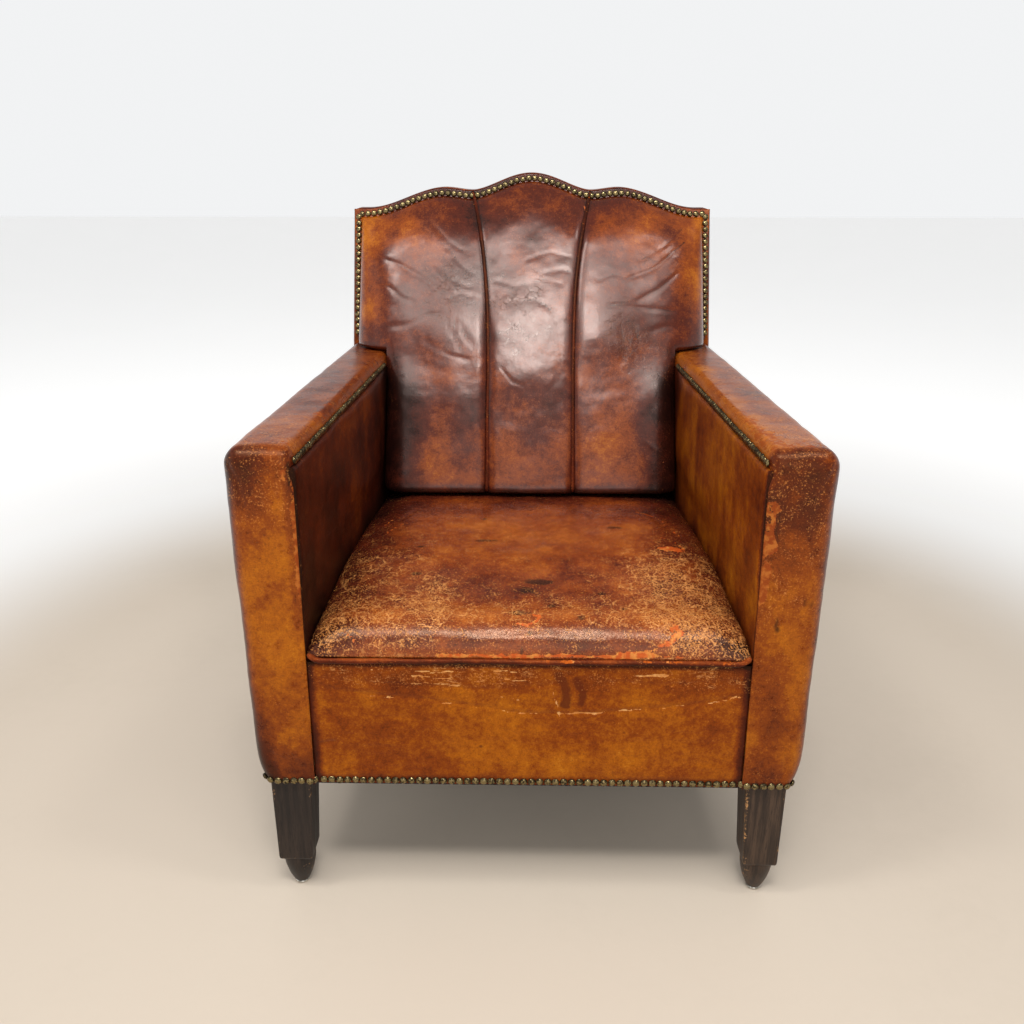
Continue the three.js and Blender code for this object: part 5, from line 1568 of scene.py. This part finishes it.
@dataclass
class Leg:
    """A tapered beech leg with rubbed edges, whose tenon runs up into the frame."""

    side: Side
    front: bool
    top: float = 178.7
    corner: float = 2.6
    tenon_radius: float = 11.0
    tenon_top: float = 214.0

    def ring(self, centre: tuple[float, float], size: float, radius: float, z: float) -> Array:
        """A square with rounded corners, at a height."""
        reach = size / 2.0 - radius
        points = []
        for k in range(4):
            turn = math.pi / 2.0 * k
            hub = np.array([math.copysign(reach, math.cos(turn + math.pi / 4.0)), math.copysign(reach, math.sin(turn + math.pi / 4.0))])
            for a in np.linspace(0.0, math.pi / 2.0, 5):
                points.append(hub + radius * np.array([math.cos(turn + a), math.sin(turn + a)]))
            following = turn + math.pi / 2.0
            end = np.array([math.copysign(reach, math.cos(following + math.pi / 4.0)), math.copysign(reach, math.sin(following + math.pi / 4.0))])
            tip = np.array([math.cos(following), math.sin(following)]) * radius
            for share in np.linspace(0.0, 1.0, 9)[1:-1]:
                points.append(mix(hub + tip, end + tip, share))
        flat = np.array(points) + np.array(centre)
        return np.column_stack([flat, np.full(len(flat), z)])

    def body(self) -> Shell:
        """The leg's square part and, on a front leg, its rounded toe."""
        if self.front:
            levels = np.concatenate([[52.0, 52.8, 54.4], steps(57.0, self.top, 4.0)])
            shrink = np.concatenate([[4.4, 2.0, 0.6], np.zeros(len(levels) - 3)])
            share = (levels - 52.0) / (self.top - 52.0)
            size = mix(45.3, 52.0, share)
            centres = np.column_stack([-333.0 + size / 2.0, 6.0 + size / 2.0])
        else:
            levels = np.concatenate([[5.0, 5.8, 7.4], steps(10.0, self.top, 4.0)])
            shrink = np.concatenate([[4.0, 1.8, 0.6], np.zeros(len(levels) - 3)])
            share = (levels - 5.0) / (self.top - 5.0)
            size = mix(36.0, 46.0, share)
            centres = np.column_stack([np.full(len(levels), -286.0), mix(648.0, 596.0, share)])
        rings = [
            self.ring((float(c[0]), float(c[1])), float(s - cut), self.corner, float(z))
            for c, s, cut, z in zip(centres, size, shrink, levels)
        ]
        sides = len(rings[0])
        index = np.arange(len(rings) * sides).reshape(len(rings), sides)
        turned = np.roll(index, -1, axis=1)
        faces = np.stack([index[:-1], turned[:-1], turned[1:], index[1:]], axis=-1).reshape(-1, 4).tolist()
        faces += [index[0][::-1].tolist(), index[-1].tolist()]
        shell = Shell(np.vstack(rings), faces).face_out()
        corner = np.zeros((len(rings), sides))
        corner[:, [k for k in range(sides) if k % 12 <= 4]] = 1.0
        corner[:3] = 0.9
        rub = 0.16 + 0.18 * corner.reshape(-1) + 0.16 * noise(shell.points, 20.0, 301 + self.side.value, 2)
        if self.front and self.side is Side.RIGHT:
            inner = smooth((shell.points[:, 0] + 292.0) / 8.0) * smooth((16.0 - shell.points[:, 1]) / 8.0)
            rub += 0.14 * inner
        shell.paint = {Paint.RUB: rub}
        pieces = [shell]
        if self.front:
            t = np.linspace(0.0, 1.0, 16)
            profile = [(float(mix(9.8, 21.6, math.sin(k * math.pi / 2.0))), float(mix(5.0, 52.5, k**1.15))) for k in t]
            pieces.append(self.round_part(profile, (-310.35, 28.65), 0.32))
        tenon = [(self.tenon_radius, self.top - 1.0), (self.tenon_radius, self.tenon_top - 2.0), (self.tenon_radius - 2.0, self.tenon_top)]
        pieces.append(self.round_part(tenon, (-307.0, 32.0) if self.front else (-286.0, 596.0), 0.1))
        whole = joined(pieces)
        whole.paint = {Paint.RUB: np.concatenate([part.paint[Paint.RUB] for part in pieces])}
        return whole

    def round_part(self, profile: Sequence[tuple[float, float]], centre: tuple[float, float], rub: float) -> Shell:
        """A turned part of the leg at its place."""
        part = turned_shell(profile, 40)
        part.points = part.points + np.array([centre[0], centre[1], 0.0])
        part.paint = {Paint.RUB: rub + 0.2 * noise(part.points, 16.0, 307, 2)}
        return part

    def glide(self) -> Shell:
        """The plated glide nailed under the foot, its rim rolled over."""
        profile = [(7.0, 0.0), (8.4, 0.3), (9.5, 1.1), (10.0, 2.2), (10.0, 3.2), (9.5, 4.2), (8.6, 4.6), (2.0, 4.6), (2.0, 15.0)]
        part = turned_shell(profile, 48)
        centre = (-310.35, 28.65) if self.front else (-286.0, 648.0)
        part.points = part.points + np.array([centre[0], centre[1], 0.0])
        part.paint = {Paint.RUB: 0.5 - 0.3 * smooth((part.points[:, 2] - 2.0) / 2.0)}
        return part

    def build(self, finishes: dict[str, bpy.types.Material]) -> None:
        """Makes the leg and its glide."""
        row = "front" if self.front else "rear"
        end = self.side.suffix
        leg, glide = self.body(), self.glide()
        if self.side is Side.RIGHT:
            leg, glide = leg.mirrored(), glide.mirrored()
        finish = finishes["leg_dark" if self.side is Side.LEFT else "leg"]
        Workshop.place(f"{row}_leg_{end}", leg, finish, "leg_wood", [f"leg_{row}_{end}"])
        Workshop.place(f"{row}_glide_{end}", glide, finishes["nickel"], "glide_nickel", [f"glide_{row}_{end}"])


@dataclass
class HiddenFrame:
    """The beech frame, webbing, springs and cloths inside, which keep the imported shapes."""

    beech: tuple[str, ...] = (
        "arm_post", "arm_rail", "arm_stuffing_rail", "back_post", "seat_rail_side", "corner_block_front", "corner_block_rear",
    )
    rails: tuple[str, ...] = ("back_crest_rail", "back_lower_rail", "seat_rail_front", "seat_rail_rear")
    webbing: tuple[str, ...] = ("left", "middle", "right", "front", "rear")

    def build(self, finishes: dict[str, bpy.types.Material]) -> None:
        for node in [f"{name}_{side.suffix}" for name in self.beech for side in Side] + list(self.rails):
            Workshop.dress(node, finishes["beech"])
        springs = [f"seat_spring_{row}_{place}" for row in ("front", "rear") for place in ("left", "middle", "right")]
        for node in springs:
            Workshop.dress(node, finishes["steel"])
        ends = ["seat_rail_front", "seat_rail_rear"]
        sides = [f"seat_rail_side_{side.suffix}" for side in Side]
        for name in self.webbing:
            held_by = sides if name in ("front", "rear") else ends
            self.stretch(f"seat_webbing_{name}", finishes["jute"], held_by)
        self.stretch("spring_hessian", finishes["jute"], springs)
        self.stretch("dust_cover", finishes["cambric"], ends + sides)

    @staticmethod
    def stretch(node: str, finish: bpy.types.Material, rests_on: list[str]) -> None:
        Workshop.dress(node, finish)


# ---- Studio ----------------------------------------------------------------------------------


@dataclass
class Studio:
    """A plain pale floor, soft light and the camera."""

    eye: tuple[float, float, float] = (0.0, -1.373, 0.939)
    tilt: float = 69.0
    turn: float = 1.144
    lens: float = 32.87
    near: str = "#c6b8a7"
    far: str = "#eceae7"

    def floor(self) -> None:
        """Polished concrete: pale, faintly clouded, lighter away from the chair, and glowing there with painted light
        so that it fades into a white backdrop.
        """
        r = Recipe("polished_concrete_painted_glow")
        cloud = r.clouds(420.0, 4.0, 0.6)
        fine = r.clouds(24.0, 5.0, 0.7)
        grade = r.add("TexCoord", {}, {}).outputs["Object"]
        away = r.add("VectorMath", {"operation": "LENGTH"}, {0: grade}).outputs["Value"]
        shade = r.sum("MULTIPLY_ADD", cloud, 0.16, r.sum("MULTIPLY", fine, 0.06))
        base = r.blend(r.ramp(away, 0.95, 1.6), linear(self.near), linear(self.far))
        mark = r.sum("MULTIPLY", r.ramp(shade, 0.1, 0.18, 0.0, 0.3), r.ramp(away, 0.8, 1.5, 1.0, 0.0))
        base = r.blend(mark, base, linear("#b3a695"))
        rough = r.ramp(cloud, 0.3, 0.7, 0.5, 0.64)
        # painted light: the floor glows more with distance, standing in for a bright backdrop
        painted_backdrop_glow = r.ramp(away, 1.05, 2.6, 0.0, 0.48)
        surface = {"Base Color": base, "Roughness": rough, "Emission Color": linear("#f4f5f6"), "Emission Strength": painted_backdrop_glow}
        material = r.finish(r.sum("MULTIPLY", fine, 0.25), surface)
        mesh = bpy.data.meshes.new("floor")
        reach = 14.0
        mesh.from_pydata([(-reach, -reach, 0.0), (reach, -reach, 0.0), (reach, reach, 0.0), (-reach, reach, 0.0)], [], [(0, 1, 2, 3)])
        mesh.materials.append(material)
        floor = bpy.data.objects.new("floor", mesh)
        bpy.context.scene.collection.objects.link(floor)

    def light(self, name: str, place: Sequence[float], aim: Sequence[float], size: tuple[float, float], watts: float) -> None:
        """A rectangular soft box that faces a point."""
        data = bpy.data.lights.new(name, "AREA")
        data.shape = "RECTANGLE"
        data.size, data.size_y = size
        data.energy = watts
        lamp = bpy.data.objects.new(name, data)
        lamp.location = place
        toward = Vector(aim) - Vector(place)
        lamp.rotation_euler = toward.to_track_quat("-Z", "Y").to_euler()
        bpy.context.scene.collection.objects.link(lamp)

    def build(self) -> None:
        """Makes the floor, the lights and the camera."""
        scene = bpy.context.scene
        self.floor()
        world = bpy.data.worlds.new("white_room")
        world.use_nodes = True
        tree = world.node_tree
        place = add_node(tree, "TexCoord", {}, {}).outputs["Generated"]
        up = add_node(tree, "SeparateXYZ", {}, {0: place}).outputs[2]
        links = {"Value": up, "From Min": 0.16, "From Max": 0.42, "To Min": 0.96, "To Max": 0.44}
        strength = add_node(tree, "MapRange", {"interpolation_type": "SMOOTHSTEP"}, links).outputs[0]
        back = tree.nodes["Background"]
        back.inputs["Color"].default_value = linear("#f6f7f8")
        tree.links.new(strength, back.inputs["Strength"])
        scene.world = world
        for name, place, size, watts in (
            ("high_window_core", (0.03, -1.6, 2.76), (0.6, 0.3), 25.0),
            ("high_window_wide", (0.0, -1.42, 2.92), (1.9, 0.42), 21.0),
            ("high_window_veil", (0.0, -1.36, 3.0), (2.2, 0.8), 20.0),
            ("high_window_left", (-1.3, -0.95, 3.2), (0.46, 0.6), 24.0),
            ("high_window_right", (1.35, -0.8, 3.3), (0.4, 0.55), 16.0),
        ):
            self.light(name, place, (0.0, 0.5, 0.6), size, watts)
        self.light("front_window", (0.25, -3.0, 1.6), (0.0, 0.3, 0.5), (2.0, 1.6), 20.0)
        self.light("left_window", (-2.9, -1.2, 1.9), (0.0, 0.0, 0.5), (2.4, 2.0), 12.0)
        camera = bpy.data.objects.new("camera", bpy.data.cameras.new("camera"))
        camera.data.lens = self.lens
        camera.data.sensor_width = 36.0
        camera.location = self.eye
        camera.rotation_euler = (math.radians(self.tilt), 0.0, math.radians(self.turn))
        scene.collection.objects.link(camera)
        scene.camera = camera
        scene.view_settings.view_transform = "Standard"


def main() -> None:
    """Builds the chair and its studio."""
    logging.basicConfig(level=logging.INFO, format="%(message)s")
    finishes = {name: finish.material() for name, finish in FINISHES.items()}
    outline = Outline()
    arms = [Arm(side) for side in Side]
    Seat().build(finishes)
    FrontBand().build(finishes)
    for arm in arms:
        arm.build(finishes)
    InsideBack(outline).build(finishes)
    OutsideBack(outline).build(finishes)
    NailTrim(outline).build(arms, finishes)
    for side in Side:
        Leg(side, True).build(finishes)
        Leg(side, False).build(finishes)
    HiddenFrame().build(finishes)
    Studio().build()


if __name__ == "__main__":
    main()
